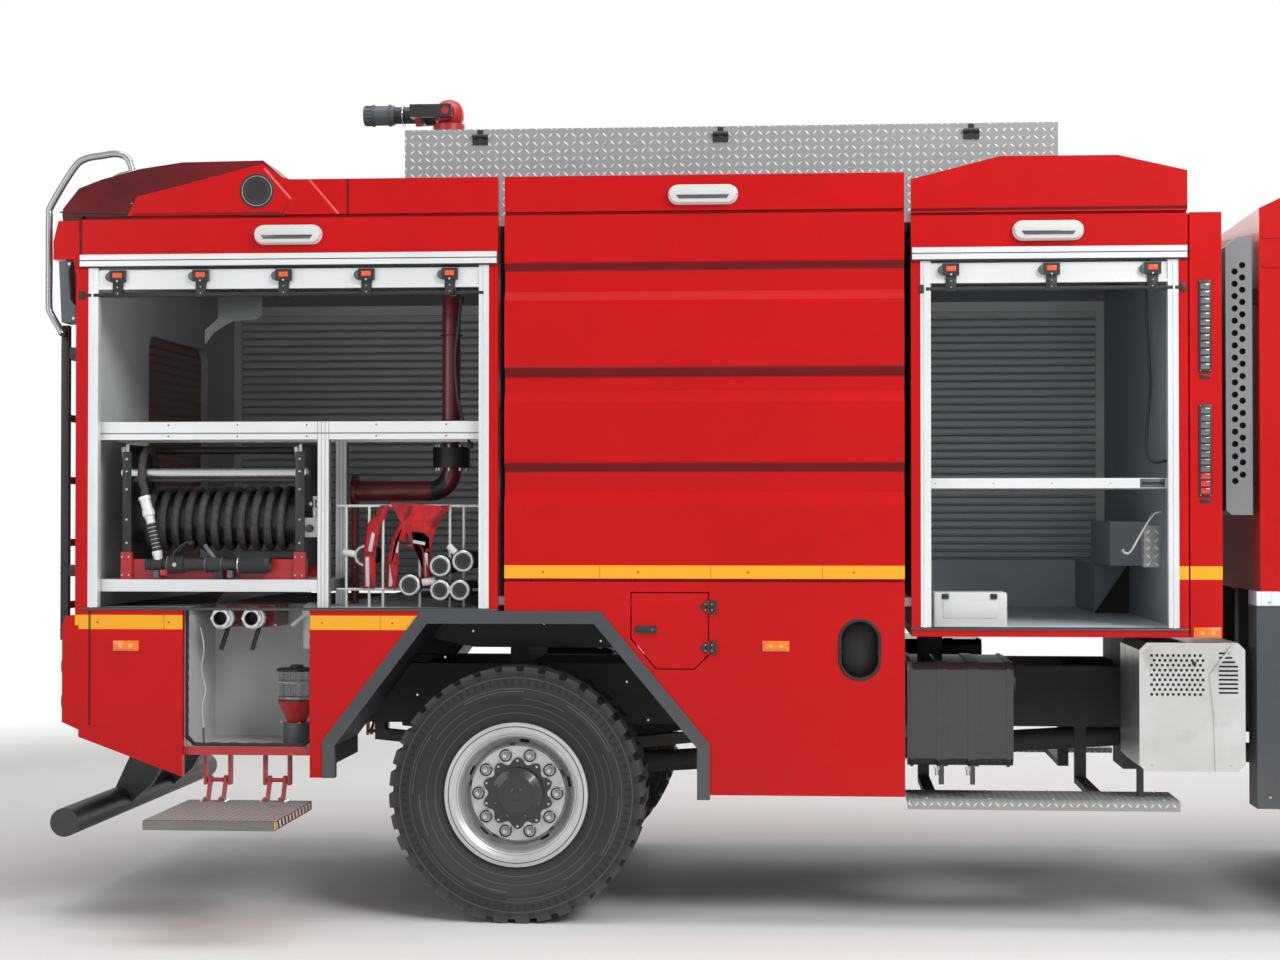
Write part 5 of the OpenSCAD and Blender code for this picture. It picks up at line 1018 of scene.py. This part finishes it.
# Hoods: bare round badge, cover screws and edge seals
for s in (-1, 1):
    turned((-1104, s * 1249, 3097), (0, s, 0), [(0, 74), (3, 74), (5, 71), (5.5, 66)], "cableBlack", 48)
    ring((-1104, s * 1254.3, 3097), left, 63, 1.1, "tapeGrey", 56, 6)
    ring((-1104, s * 1254.3, 3097), left, 50, 0.7, "bracketGrey", 48, 6)
    bolts([(x, s * 1240, z) for x, z in ((-1650, 3050), (-1400, 3120), (-1130, 3190), (-1690, 3010))],
          (0, s, 0), 4, 2.5)
    pipe([(-1962, s * 1243, 3016), (-1500, s * 1243, 3004), (-985, s * 1243, 2992)], 3.5, "rubber", 8, 4)
# Painted shade: a black filler under each hood's rear end stands in for the shade in the gap
for s in (-1, 1):
    slab([(-1952, 2979), (-1868, 2979), (-1868, 3000), (-1956, 3012)], (s * 1200, s * 1236), "cableBlack", 1)
finishShape("hoodTrim")

# Dark lines between the drip bands, shutter catches and the rod that runs through them
catchLook = {"at": catches, "insert": 20, "dot": 4.2}
for x in catchLook["at"]:
    box((x - catchLook["insert"], x + catchLook["insert"]), (-1267, -1262), (2730, 2751), "orange", 1.5)
    rod((x, -1262, 2716), (x, -1268, 2716), catchLook["dot"], "tapeGrey", 12)
    rod((x - 34, -1242, 2735), (x - 34, -1262, 2735), 20, "bracketGrey", 24, soft=2)
    box((x - 17, x + 17), (-1259, -1254), (2652, 2700), "blackPlastic", 2)
    bolts([(x, -1258.5, 2664), (x, -1258.5, 2690)], right, 4, 2)
for x0, x1 in ((-1862, -262), (1700, 2770)):
    rod((x0, -1244, 2658), (x1, -1244, 2658), 9.6, "cableBlack", 14)
    for x in (x0, x1):
        box((x - 12, x + 12), (-1256, -1230), (2640, 2676), "blackPlastic", 3)
for x0, x1 in ((-1872, -62), (1658, 2790)):
    for s in (-1, 1):
        box((x0, x1), (s * 1248, s * 1264.5), (2802, 2808), "cableBlack")
        box((x0, x1), (s * 1248, s * 1262), (2774, 2780.5), "cableBlack")
finishShape("catchTrim")

# Sill strips, band screws and seams along the sides
sillLook = {"screws": [(-1790, 1264), (-1480, 1264), (-820, 1264), (-520, 1264), (-220, 1264), (120, 1481),
                       (520, 1481), (980, 1481), (1420, 1481)]}
for s in (-1, 1):
    for x0, x1, z in ((-1868, -74, 1318), (1660, 2788, 1246)):
        if s < 0:
            box((x0, x1), (s * 1246, s * 1257), (z - 3, z + 6), "sillGrey", 2)
            box((x0 + 30, x1 - 30), (s * 1216, s * 1252), (z + 5, z + 9), "rubber", 1.5)
    bolts([(x, s * 1249.5, z) for x, z in sillLook["screws"]], (0, s, 0), 4.5, 2.2, "bracketGrey")
    bolts(grid(range(60, 1600, 220), s * 1249.5, 1444), (0, s, 0), 3.5, 1.6, "cableBlack")
    bolts([(x, s * 1212, z) for x, z in ((-418, 960), (-300, 1120), (-180, 1230), (120, 1262), (360, 1190),
            (470, 1020), (560, 860))],
          (0, s, 0), 6, 3)
finishShape("sillTrim")

# Pump pocket: rough seal, bowl lid, bands and mesh, flange nuts and the wire of the lever
pocketLook = {"x": (-1416, -877), "z": (742, 1318), "bowl": (-975, -1040)}
(px0, px1), (pz0, pz1) = pocketLook["x"], pocketLook["z"]
for a, b in (((px0, pz1), (px0, pz0 + 34)), ((px1, pz1), (px1, pz0 + 34)), ((px0 + 34, pz0), (px1 - 34, pz0)),
             ((px0, pz0 + 34), (px0 + 34, pz0)), ((px1, pz0 + 34), (px1 - 34, pz0))):
    line = [(a[0] + (b[0] - a[0]) * k / 24 + 1.5 * math.sin(9.3 * k), -1196, a[1] + (b[1] - a[1]) * k / 24
             + 1.5 * math.cos(7.7 * k)) for k in range(25)]
    pipe(line, 8.5, "rubber", 10, 2)
bx, by = pocketLook["bowl"]
turned((bx, by, 1046), up, [(0, 84), (10, 84), (13, 80), (15, 30), (26, 28), (28, 20)], "blackPlastic", 40)
pins(circle((bx, by, 1048), "z", 84, 20), (0, 0, 9), 3.2, "blackPlastic", 8)
for z in (934, 1000):
    ring((bx, by, z), up, 81, 2.4, "steel" if z == 934 else "tapeGrey", 48, 8)
for z in range(936, 1044, 12):
    ring((bx, by, z), up, 56, 0.9, "steel", 32, 5)
pins(circle((bx, by, 926), "z", 56, 24), (0, 0, 120), 0.9, "steel", 5)
bolts([(bx + 66 * math.cos(a), by + 66 * math.sin(a), 826) for a in (0.4, 1.97, 3.54, 5.11)], up, 6, 4,
      "whitePlastic")
for x in outlets:
    pins(circle((x, -1112, 1275), "y", 37, 6, math.tau / 12), (0, -5, 0), 3.4, "steel", 8)
    ring((x, -1114.5, 1275), left, 30, 1.8, "steel", 36, 8)
    ring((x, -1084, 1275), left, 45, 2.5, "alloy", 36, 8)
leverWire = [(-1370, -1150, 1240), (-1352, -1160, 1150), (-1360, -1168, 1060), (-1340, -1176, 975),
             (-1352, -1184, 900), (-1345, -1186, 812)]
pipe(leverWire, 3, "tapeGrey", 8)
rod((-1345, -1186, 812), (-1345, -1186, 740), 5, "bracketGrey", 12)
box((-1340, -1100), (-1204, -1196), (700, 706), "orange", 1)
bolts(grid((-1390, -1240, -1070, -905), -1204, 718), right, 5, 2.5)
bolts(grid(range(-1350, -1088, 87), -958, 1240), right, 6, 5)
finishShape("pocketTrim")

# Fold-out platforms: striped edge, corner reflector, hinge bolts and cleats
platformLook = {"hinges": (-1295, -1037)}
box((-881, -878.6), (-1806, -1180), (471, 498), "edgeTape", 0.3)
box((-882, -877), (-1848, -1810), (470, 500), "yellowLens", 1)
box((-1406, -887), (-1848, -1836), (502.5, 504.2), "sillGrey", 0.5)
for x in platformLook["hinges"]:
    for d in (-52, 52):
        bolts([(x + d, -1176, 503), (x + d, -1214, 503)], up, 7, 5, sides=6)
    for d in (-33, 33):
        rod((x + d - 10, -1196, 512), (x + d + 10, -1196, 512), 5, "steel", 10)
finishShape("rightPlatformTrim", body="right_platform")
bolts([(x + d, 1250, z) for x in platformLook["hinges"] for d in (-52, 52) for z in (650, 690)], left, 7, 4,
      sides=6)
for z in (700, 1230):
    box((-1190, -1110), (1249, 1256), (z, z + 30), "blackPlastic", 3)
finishShape("leftPlatformTrim", body="left_platform")

# Hatch latch, hinge screws and the oval port's rubber ring
hatchLook = {"latch": (514, 594, 1228, 1252), "hinges": [1166, 1336], "hingeX": 815.5}
lx0, lx1, lz0, lz1 = hatchLook["latch"]
box((lx0 + 4, lx1 - 30), (-1261, -1256), (lz0 + 3, lz1 - 3), "cableBlack", 1.5)
rod((lx1 - 14, -1256, 1240), (lx1 - 14, -1260, 1240), 7, "bracketGrey", 18, soft=1)
box((lx1 - 15, lx1 - 13), (-1260.6, -1259), (1236, 1244), "cableBlack")
for z in hatchLook["hinges"]:
    box((hatchLook["hingeX"] - 21, hatchLook["hingeX"] - 4), (-1256.5, -1251), (z - 19, z + 19), "cableBlack",
        1)
bolts([(hatchLook["hingeX"] - 13, -1256, z + d) for z in hatchLook["hinges"] for d in (-12, 12)], right, 4,
      2.4)
finishShape("hatchTrim", body="hatch_door")
for z in hatchLook["hinges"]:
    box((hatchLook["hingeX"] + 5, hatchLook["hingeX"] + 22), (-1256.5, -1251), (z - 19, z + 19), "cableBlack",
        1)
bolts([(hatchLook["hingeX"] + 14, -1256, z + d) for z in hatchLook["hinges"] for d in (-12, 12)], right, 4,
      2.4)
for s in (-1, 1):
    oval = capsuleLine(1160, 1443, 40, 82, 16)
    pipe([(z, s * 1251, x) for x, z in oval + oval[:1]], 7, "rubber", 10, 2)
    slab([(z, x) for x, z in capsuleLine(1160, 1443, 38, 70, 16)], (s * 1160, s * 1166), "cableBlack", 1)
    ring((1443, s * 1158, 1160), left, 40, 5, "bracketGrey", 40, 8)
finishShape("ovalTrim")

# Mirrors: rounded shells, glass, ball joints and arms
mirrorLook = {"x": (5300, 5380), "y": (1270, 1470), "z": (2080, 2540), "soft": 22}
for s in (-1, 1):
    (mx0, mx1), (my0, my1), (mz0, mz1) = mirrorLook["x"], mirrorLook["y"], mirrorLook["z"]
    box((mx0 + 6, mx1), (s * my0, s * my1), (mz0, mz1), "blackPlastic", mirrorLook["soft"], 4)
    box((mx0 + 2, mx0 + 12), (s * (my0 + 16), s * (my1 - 16)), (mz0 + 150, mz1 - 16), "mirrorGlass", 3)
    box((mx0 + 2, mx0 + 12), (s * (my0 + 16), s * (my1 - 16)), (mz0 + 18, mz0 + 136), "mirrorGlass", 3)
    for z in (2133, 2503):
        rod((5320, s * 1215, z), (5320, s * 1278, z), 12, "blackPaint", 18)
        turned((5320, s * 1219, z), (0, s, 0), [(0, 26), (8, 26), (12, 20)], "blackPaint", 24)
        ring((5320, s * 1266, z), left, 13, 4, "rubber", 24, 8)
    for z in (2240, 2310, 2380):
        box((mx1 - 4, mx1), (s * (my0 + 40), s * (my1 - 40)), (z, z + 10), "cableBlack", 2)
finishShape("mirrorSet", stands=("mirrors",))

# Cab interior: padded seats, instrument panel and steering wheel
seatLook = {"rows": (3270, 4380), "places": (-700, 0, 700), "half": 214, "crown": 9}
for x in seatLook["rows"]:
    for y in seatLook["places"]:
        for outline, crown in (([(x + 4, 1640), (x + 440, 1640), (x + 496, 1800), (x + 476, 1886),
                                 (x + 420, 1884), (x + 116, 1866), (x + 20, 1790)], 0),
                               ([(x - 36, 1852), (x + 104, 1872), (x + 30, 2280), (x - 50, 2300),
                                 (x - 104, 2290)], 0),
                               ([(x - 58, 2312), (x - 2, 2304), (x - 24, 2512), (x - 116, 2504)], 1)):
            half = seatLook["half"] - (70 if crown else 0)
            slab(outline, (y - half, y + half), "seatCloth", 16, steps=4)
        slab([(x + 120, 1869), (x + 400, 1884), (x + 400, 1889), (x + 120, 1874)], (y - 110, y + 110),
             "seatCloth", 2)
        piping = [(x + 100, y - 180, 1872), (x + 40, y - 60, 2230), (x + 30, y + 60, 2230), (x + 100, y + 180,
                1872)]
        pipe(piping, 4, "rubber", 6, 5)
        for dy in (-60, 60):
            rod((x - 60, y + dy, 2280), (x - 68, y + dy, 2330), 7, "steel", 10)
seatCushions = finishShape("seatCushions", stands=("cab_interior",))
dashLook = {"half": 1096, "wheel": (5020, 620, 2120), "radius": 208, "lean": (-0.602, 0, 0.799)}
for x in seatLook["rows"]:
    for y in seatLook["places"]:
        box((x + 30, x + 410), (y - 170, y + 170), (1446, 1655), "dashPlastic", 12)
        for dy in (-120, 120):
            box((x - 20, x + 440), (y + dy - 18, y + dy + 18), (1446, 1470), "sillGrey", 3)
slab([(5240, 1446), (5420, 1446), (5420, 1820), (5365, 2000), (5340, 2036), (5160, 2046), (5124, 1980),
      (5240, 1860)],
     (-dashLook["half"], dashLook["half"]), "dashPlastic", 14, steps=3)
slab([(5122, 1984), (5158, 2048), (5230, 2060), (5250, 2040), (5170, 1950)], (400, 840), "blackPlastic", 6)
for y in (500, 620, 740):
    turned((5140, y, 2010), (-0.87, 0, 0.49), [(0, 48), (4, 48), (6, 43)], "lensDark", 32)
    ring((5137, y, 2013), (-0.87, 0, 0.49), 48, 3, "steel", 32, 6)
for i in range(10):
    box((5150, 5172), (-420 + 62 * i, -384 + 62 * i), (1916, 1944), "blackPlastic", 3)
    rod((5150, -402 + 62 * i, 1960), (5142, -402 + 62 * i, 1964), 5, "cellRed" if i % 3 == 0 else "cellWhite",
        10)
for y in (-900, -640, 960):
    for i in range(5):
        box((5156, 5184), (y - 60, y + 60), (1950 + i * 14, 1956 + i * 14), "rubber", 2)
wx, wy, wz = dashLook["wheel"]
ring((wx, wy, wz), dashLook["lean"], dashLook["radius"], 14, "blackPlastic", 64, 14)
turned((wx, wy, wz), dashLook["lean"], [(-24, 30), (-20, 60), (6, 64), (14, 56), (16, 20)], "blackPlastic",
       36)
lean = Vector(dashLook["lean"])
across = lean.cross(Vector(left)).normalized()
for a in (0.0, 2.3, -2.3):
    way = across * -math.cos(a) + Vector(left) * math.sin(a)
    tip = Vector((wx, wy, wz)) + way * (dashLook["radius"] - 6)
    foot = Vector((wx, wy, wz)) + way * 50
    rod(tuple(foot), tuple(tip), 15, "bracketGrey", 12, end=11)
rod((5215, 620, 1872), (5024, 620, 2114), 28, "dashPlastic", 24)
for d, y in ((40, 560), (40, 680)):
    rod((5070, y, 2070), (5040, y + (90 if y > 620 else -90), 2090), 7, "blackPlastic", 10, end=9)
finishShape("cabDash", stands=("cab_interior",))

# Cab outside: wipers, window rubbers, grille mesh, grips, bare plate and bumper screws
cabLook = {"plate": (-260, 260, 1110, 1225)}


def screen(t, d):
    return 5240 + 190 * t - 0.981 * d, 3030 - 970 * t - 0.192 * d


for y in (-560, 420):
    foot, knee, tip = screen(0.92, -6), screen(0.7, -24), screen(0.30, -14)
    arm = [(foot[0], y, foot[1]), (knee[0], y + 90, knee[1]), (tip[0], y + 210, tip[1])]
    pipe(arm, 7, "cableBlack", 10)
    a, b = screen(0.86, -8), screen(0.16, -8)
    rod((a[0], y + 150, a[1]), (b[0], y + 250, b[1]), 6, "rubber", 10)
    turned((foot[0], y, foot[1]), (0.98, 0, 0.19), [(-14, 24), (2, 24), (8, 16)], "cableBlack", 20)
corners = [screen(t, 0) for t in (0.1, 0.95)]
for y in (-1080, 1080):
    pipe([(corners[0][0], y, corners[0][1]), (corners[1][0], y, corners[1][1])], 8, "rubber", 10, 4)
for x, z in corners:
    pipe([(x, -1080, z), (x, 1080, z)], 8, "rubber", 10, 4)
for s in (-1, 1):
    line = [(3415, s * 1221, 2060), (3415, s * 1221, 2690), (4180, s * 1221, 2690), (4180, s * 1221, 2060),
            (3415, s * 1221, 2060)]
    pipe(line, 7, "rubber", 8, 1)
    for z in (1520, 1700):
        box((3130, 4290), (s * 1219, s * 1221.5), (z, z + 4), "cabRed")
    rod((4275, s * 1252, 1560), (4275, s * 1252, 2460), 13, "blackPlastic", 18)
    for z in (1560, 2010, 2460):
        rod((4275, s * 1216, z), (4275, s * 1254, z), 12, "blackPlastic", 16, soft=2)
    bolts(grid((3120, 3280, 4800, 5260), s * 1220, (560, 1360)), (0, s, 0), 7, 4)
for i in range(18):
    rod((5494, -636 + i * 75, 1466), (5494, -636 + i * 75, 1798), 3, "blackPlastic", 8)
y0, y1, z0, z1 = cabLook["plate"]
box((5530, 5536), (y0, y1), (z0, z1), "whitePlastic", 2)
bolts(grid(5536, (-240, 240), 1168), ahead, 6, 2)
bolts(grid(5528, (-590, 590), (1062, 1308)), ahead, 8, 4)
finishShape("cabTrim")
for side, s in (("right", -1), ("left", 1)):
    pipe([(4400, s * 1221, 2060), (4400, s * 1221, 2690), (4995, s * 1221, 2690), (5100, s * 1221, 2060),
          (4400, s * 1221, 2060)], 7, "rubber", 8, 1)
    rod((4386, s * 1262, 1952), (4526, s * 1262, 1952), 9, "cableBlack", 16)
    rod((4556, s * 1221, 1952), (4556, s * 1226, 1952), 11, "steel", 20)
    for z in (1600, 2500):
        rod((5196, s * 1226, z - 34), (5196, s * 1226, z + 34), 9, "blackPaint", 16)
    finishShape(side + "DoorTrim", body=side + "_door")

# Wheels: hub bolts, stud ends, valve and balance weight on each wheel's own body
wheelLook = {"nuts": 10, "nutRing": 167.5, "lobe": 139, "hubBolts": 10, "hubRing": 139,
             "slot": ((202, -0.055), (212, -0.055), (213, 0), (212, 0.055), (202, 0.055), (203, 0))}
for place, axleX in (("front", 4050), ("rear", 0)):
    for side, s in (("right", -1), ("left", 1)):
        # Painted shadow: a dark ring round each nut
        for spot in circle((axleX, s * 1147, 540), "y", wheelLook["nutRing"], wheelLook["nuts"]):
            ring(spot, left, 24, 3.4, "hubBlack", 24, 6)
        for y, step, across, count, start, size, look, sides, soft in (
                (1164, 14, wheelLook["nutRing"], wheelLook["nuts"], 0, 9, "steel", 14, 1.5),
                (1146, 9, wheelLook["hubRing"], wheelLook["hubBolts"], math.tau / 20, 5.5, "steel", 6, 1),
                (1177, 7, 98, 8, math.tau / 16, 5.5, "bracketGrey", 6, 1)):
            places = circle((axleX, s * y, 540), "y", across, count, start)
            pins(places, (0, s * step, 0), size, look, sides, soft=soft)
        lobes = [(wheelLook["lobe"] - 13 * math.cos(10 * a), a)
                 for a in [math.tau * k / 160 for k in range(160)]]
        slab([(axleX + r * math.cos(a), 540 + r * math.sin(a)) for r, a in lobes], (s * 1133, s * 1148),
             "hubBlack")
        # Painted shade: dark slabs in the disc's five slots stand in for the shade seen through them
        for i in range(5):
            a = math.tau * (i + 0.35) / 5
            slot = [(axleX + r * math.cos(a + d), 540 + r * math.sin(a + d)) for r, d in wheelLook["slot"]]
            slab(slot, (s * 1100, s * 1128), "cableBlack")
        ring((axleX, s * 1207.5, 540), left, 287, 2.0, "cableBlack", 96, 6)
        ring((axleX, s * 1194, 540), left, 256, 2.2, "nutSteel", 96, 6)
        ring((axleX, s * 1112, 540), left, 212, 3.0, "nutSteel", 80, 6)
        turned((axleX, s * 1186, 540), (0, s, 0), [(0, 30), (5, 30), (8, 24), (9, 10)], "hubBlack", 24)
        rod((axleX + 196, s * 1120, 612), (axleX + 206, s * 1172, 616), 5, "brass", 10)
        rod((axleX + 206, s * 1170, 616), (axleX + 208, s * 1182, 617), 6.5, "cableBlack", 10)
        box((axleX - 26, axleX + 26), (s * 1196, s * 1206), (540 - 290, 540 - 280), "nutSteel", 2)
        finishShape(place + side.capitalize() + "WheelTrim", body=place + "_" + side + "_wheel")

# Rear bay: sheet bracket, inner line, reel screws, dial and base bolts
bayLook = {"bracket": [(-1394, 2462), (-1395, 2527), (-1337, 2579), (-1337, 2688), (-1138, 2687),
                       (-1142, 2587), (-1169, 2569),
                       (-1266, 2566), (-1301, 2548), (-1355, 2514)]}
slab(bayLook["bracket"], (-1002, -998), "bracketGrey", 1)
pipe([(-252, -1100, 2641), (-265, -1100, 2512), (-278, -1100, 2384), (-264, -1100, 2212), (-230, -1100, 2083),
      (-212, -1100, 2019)], 7, "cableBlack", 12)
for x, z in ((-252, 2641), (-212, 2019)):
    rod((x, -1100, z - 14), (x, -1100, z + 14), 12, "blackPlastic", 16, soft=2)
turned((-900, -1129, 1662), right, [(0, 17), (4, 17), (6, 14), (14, 12), (16, 8)], "knobGreen", 28)
bolts(grid((-926, -874), -1130, (1634, 1699)), right, 3.5, 2)
rod((-925, -1100, 1768), (-842, -1100, 1768), 15, "steel", 20, soft=2)
rod((-884, -1100, 1708), (-884, -1100, 1800), 11, "alloy", 18)
rod((-884, -1100, 1752), (-884, -1100, 1784), 20, "steel", 6, soft=2)
for x in (-1694, -939):
    box((x - 20, x + 20), (-1152, -1138), (1562, 1992), "blackPaint", 2)
    bolts(grid(x, -1152, (1600, 1700, 1830, 1960)), right, 7, 4, sides=6)
box((-1694, -1686), (-1100, -1080), (1640, 1700), "sillGrey", 2)
bolts(grid((-1712, -1682, -957, -927), -1158, (1462, 1540)), right, 6, 4, sides=6)
bolts(grid((-1800, -1500, -1200, -900, -600, -300, -140), -1196, (2056, 2104)), right, 4, 2, "bracketGrey")
pins(circle((-1702, -970, 1706), "x", 80, 9), (-6, 0, 0), 7, "steel", 6)
bolts(circle((-357, -700, 2019), "z", 66, 8), up, 8, 9, sides=6)
for z in (2140, 2520):
    ring((-357, -700, z), up, 48, 3, "pipeRed", 40, 8)
finishShape("bayTrim")

# Front bay: shelf bracket, small white case, hooks, wall rods and bolts
bolts(grid(2751, -1130, (2584, 2389, 2195, 2000, 1810)), (-1, 0, 0), 9, 5, sides=6)
rod((2748, -1080, 1896), (2748, -1080, 2371), 5, "bracketGrey", 12)
for z in (1900, 2140, 2366):
    box((2738, 2756), (-1090, -1070), (z - 8, z + 8), "bracketGrey", 2)
rod((2746, -1150, 2385), (2746, -1150, 2504), 7, "blackPlastic", 14, soft=1)
box((2602, 2704), (-1194, -1186), (1834, 1870), "bracketGrey", 2)
box((2610, 2698), (-1196, -1190), (1846, 1858), "cableBlack", 1)
box((1750, 2056), (-1188, -1000), (1250, 1398), "whitePlastic", 10, 3)
box((1790, 2016), (-1192, -1186), (1290, 1360), "palePaint", 3)
for x in (1800, 2000):
    box((x - 14, x + 14), (-1196, -1184), (1370, 1392), "blackPlastic", 3)
pipe([(2700, -1110, 1730), (2667, -1112, 1720), (2620, -1116, 1650), (2573, -1118, 1569), (2548, -1118, 1562),
      (2540, -1118, 1578)], 6, "steel", 10)
box((2636, 2702), (-1060, -985), (1500, 1676), "chequerAlloy", 3)
bolts(grid((1760, 2000, 2240, 2480), -1189, 1852), right, 4, 2)
finishShape("frontBayTrim")

# Roof monitor: bands, flange bolts, valve wheel and nozzle rim
for x in (-844, -764, -700):
    ring((x, 0, 3630), ahead, 51, 2.4, "rubber" if x != -700 else "steel", 40, 8)
ring((-887, 0, 3630), ahead, 44, 3, "blackPlastic", 40, 8)
pins(circle((-882, 0, 3630), "x", 47, 16), (30, 0, 0), 2.6, "rubber", 6)
finishShape("monitorTubeTrim", body="monitor_tube")
bolts(circle((-480, 0, 3500), "z", 64, 8), up, 6, 6, sides=6)
ring((-480, 0, 3560), up, 56, 3, "steel", 40, 8)
finishShape("monitorTrim", body="monitor_turret")

# Roof locker: rivets, seal and lid latches
bolts(grid(range(-500, 2300, 140), -850, (3010, 3352)), right, 5, 2)
finishShape("lockerTrim")
for x in (320, 1390):
    box((x - 30, x + 30), (-291, -284), (3380, 3410), "blackPlastic", 3)
    rod((x, -284, 3395), (x, -279, 3395), 9, "steel", 16, soft=1)
bolts(grid(range(-500, 2300, 200), (-830, -310), 3412), up, 5, 2)
finishShape("lidTrim", body="locker_cover")

# Underside and rear: tank straps' screws, cap, board bolts and arch liners
tankLook = {"straps": (1762, 1890)}
for s in (-1, 1):
    for x in tankLook["straps"]:
        rod((x, s * 1215, 640), (x, s * 1215, 668), 8, "steel", 12)
        rod((x, s * 1215, 662), (x, s * 1215, 674), 13, "steel", 6, soft=1)
    turned((2070, s * 1120, 1020), ahead, [(0, 40), (16, 40), (22, 36), (24, 12)], "blackPlastic", 28)
    bolts([(x, s * d, 545) for x in (1720, 1980, 2240, 2500, 2690) for d in (950, 1230)], up, 6, 4, sides=6)
for y in (-1090, 1090):
    bolts(grid(-1905, y, (900, 1300, 1900)), (-1, 0, 0), 6, 3)
bolts(grid((2640, 2960), -1234, (690, 1160)), right, 6, 3)
rod((2812, -1236, 1110), (2812, -1240, 1110), 9, "blackPlastic", 16, soft=1)
for s in (-1, 1):
    liner = [(-440, 1168), (-440, 1322), (620, 1322), (620, 1168), (420, 1130), (-260, 1130)]
    slab(liner, (s * 636, s * 642), "chassisPaint", 1)
finishShape("underTrim")

# Ladder with ribbed rungs, and the handrail loops bent from one tube each
ladderLook = {"stiles": (-1120, -740), "rungs": 5, "pitch": 270, "rails": ((-1180, 3187.8, -1180, -1110),
        (-680, 2978, -750, -680))}
for y in ladderLook["stiles"]:
    box((-1992, -1954), (y - 14, y + 14), (1180, 2540), "blackPaint", 4, 3)
    for z in (1210, 1480, 2420):
        box((-1956, -1945 if z < 1290 else -1888.5), (y - 12, y + 12), (z - 25, z + 25), "blackPaint", 2)
        bolts([(-1992, y, z + d) for d in (-12, 12)], (-1, 0, 0), 6, 4, sides=6)
for i in range(ladderLook["rungs"]):
    z = 1330 + i * ladderLook["pitch"]
    rod((-1973, -1120, z), (-1973, -740, z), 14, "blackPaint", 20)
    for k in range(11):
        ring((-1973, -1080 + 30 * k, z), left, 14.5, 2.2, "rubber", 20, 6)
for y, foot, y0, y1 in ladderLook["rails"]:
    line = [(-1973, y, 2500), (-1985, y, 2525), (-2020, y, 2584), (-2030, y, 2625), (-2030, y, 2800),
            (-2030, y, 3000), (-2020, y, 3056),
            (-1925, y, 3210), (-1875, y, 3252), (-1800, y, 3266), (-1735, y, 3273), (-1690, y, 3255), (-1667,
                    y, 3205),
            (-1665, y, 3150), (-1665, y, foot)]
    pipe(line, 15, "railSteel", 18, 5)
    rod((-1973, y0, 2500), (-1973, y1, 2500), 12, "blackPaint", 18)
    turned((-1665, y, foot), up, [(0, 30), (5, 30), (8, 26), (9, 17)], "railSteel", 28)
finishShape("ladderSet", stands=("ladder",))

# Stage: pale floor fading into the white surroundings, soft lamps from the right, above and behind
stageLook = {"floor": (0.80, 0.80, 0.79), "sky": 0.46, "glossy": 0.22, "near": 7.5, "far": 11.0}
floorMesh = bmesh.new()
bmesh.ops.create_grid(floorMesh, x_segments=1, y_segments=1, size=60)
floorData = bpy.data.meshes.new("studioFloor")
floorMesh.to_mesh(floorData)
floorMesh.free()
floor = bpy.data.objects.new("studioFloor", floorData)
bpy.context.scene.collection.objects.link(floor)
floorPaint = bpy.data.materials.new("studioFloor")
floorPaint.use_nodes = True
floorTree = floorPaint.node_tree
fillShader(floorTree, {"Base Color": stageLook["floor"], "Roughness": 0.9, "Specular IOR Level": 0.1})
floorSpot = put(floorTree, "ShaderNodeTexCoord", {}).outputs["Object"]
floorWay = put(floorTree, "ShaderNodeVectorMath", {0: floorSpot}, operation="LENGTH").outputs["Value"]
floorMix = put(floorTree, "ShaderNodeMixShader", {
    0: Field(floorTree, floorWay).rise(stageLook["near"], stageLook["far"]),
    1: floorTree.nodes["Principled BSDF"].outputs[0],
    2: put(floorTree, "ShaderNodeEmission", {"Color": (1, 1, 1), "Strength": 1.0}).outputs[0]})
floorTree.links.new(floorMix.outputs[0], floorTree.nodes["Material Output"].inputs["Surface"])
floorData.materials.append(floorPaint)

world = bpy.data.worlds.new("studioWorld")
bpy.context.scene.world = world
world.use_nodes = True
worldTree = world.node_tree
worldTree.nodes.clear()
rays = {ray.name: Field(worldTree, ray) for ray in put(worldTree, "ShaderNodeLightPath", {}).outputs}
seen = rays["Is Camera Ray"].larger(rays["Is Transmission Ray"])
seen = seen.larger(rays["Is Glossy Ray"] * stageLook["glossy"])
light = mixValue(seen, stageLook["sky"], 1.0)
backdrop = put(worldTree, "ShaderNodeBackground", {"Color": (1, 1, 1), "Strength": light})
put(worldTree, "ShaderNodeOutputWorld", {"Surface": backdrop.outputs[0]})

# Each lamp: its place, what it aims at, its two sizes and its power
lampPlan = {
    "keyLamp": ((5.5, -9.0, 8.0), (-0.5, 0, 1.4), (5, 4), 840), "fillLamp": ((-8.5, -8.0, 4.5),
            (-0.5, 0, 1.5), (5, 5), 130),
    "topLamp": ((0, -1, 10), (0, 0, 0), (9, 6), 480), "backLamp": ((2, 9, 6), (0, 0, 1.5), (8, 4), 260),
}
for name, (place, aim, size, power) in lampPlan.items():
    data = bpy.data.lights.new(name, "AREA")
    data.shape = "RECTANGLE"
    data.size, data.size_y = size
    data.energy = power
    lamp = bpy.data.objects.new(name, data)
    lamp.location = place
    lamp.rotation_euler = (Vector(aim) - Vector(place)).to_track_quat("-Z", "Y").to_euler()
    bpy.context.scene.collection.objects.link(lamp)
bpy.context.scene.view_settings.view_transform = "Standard"
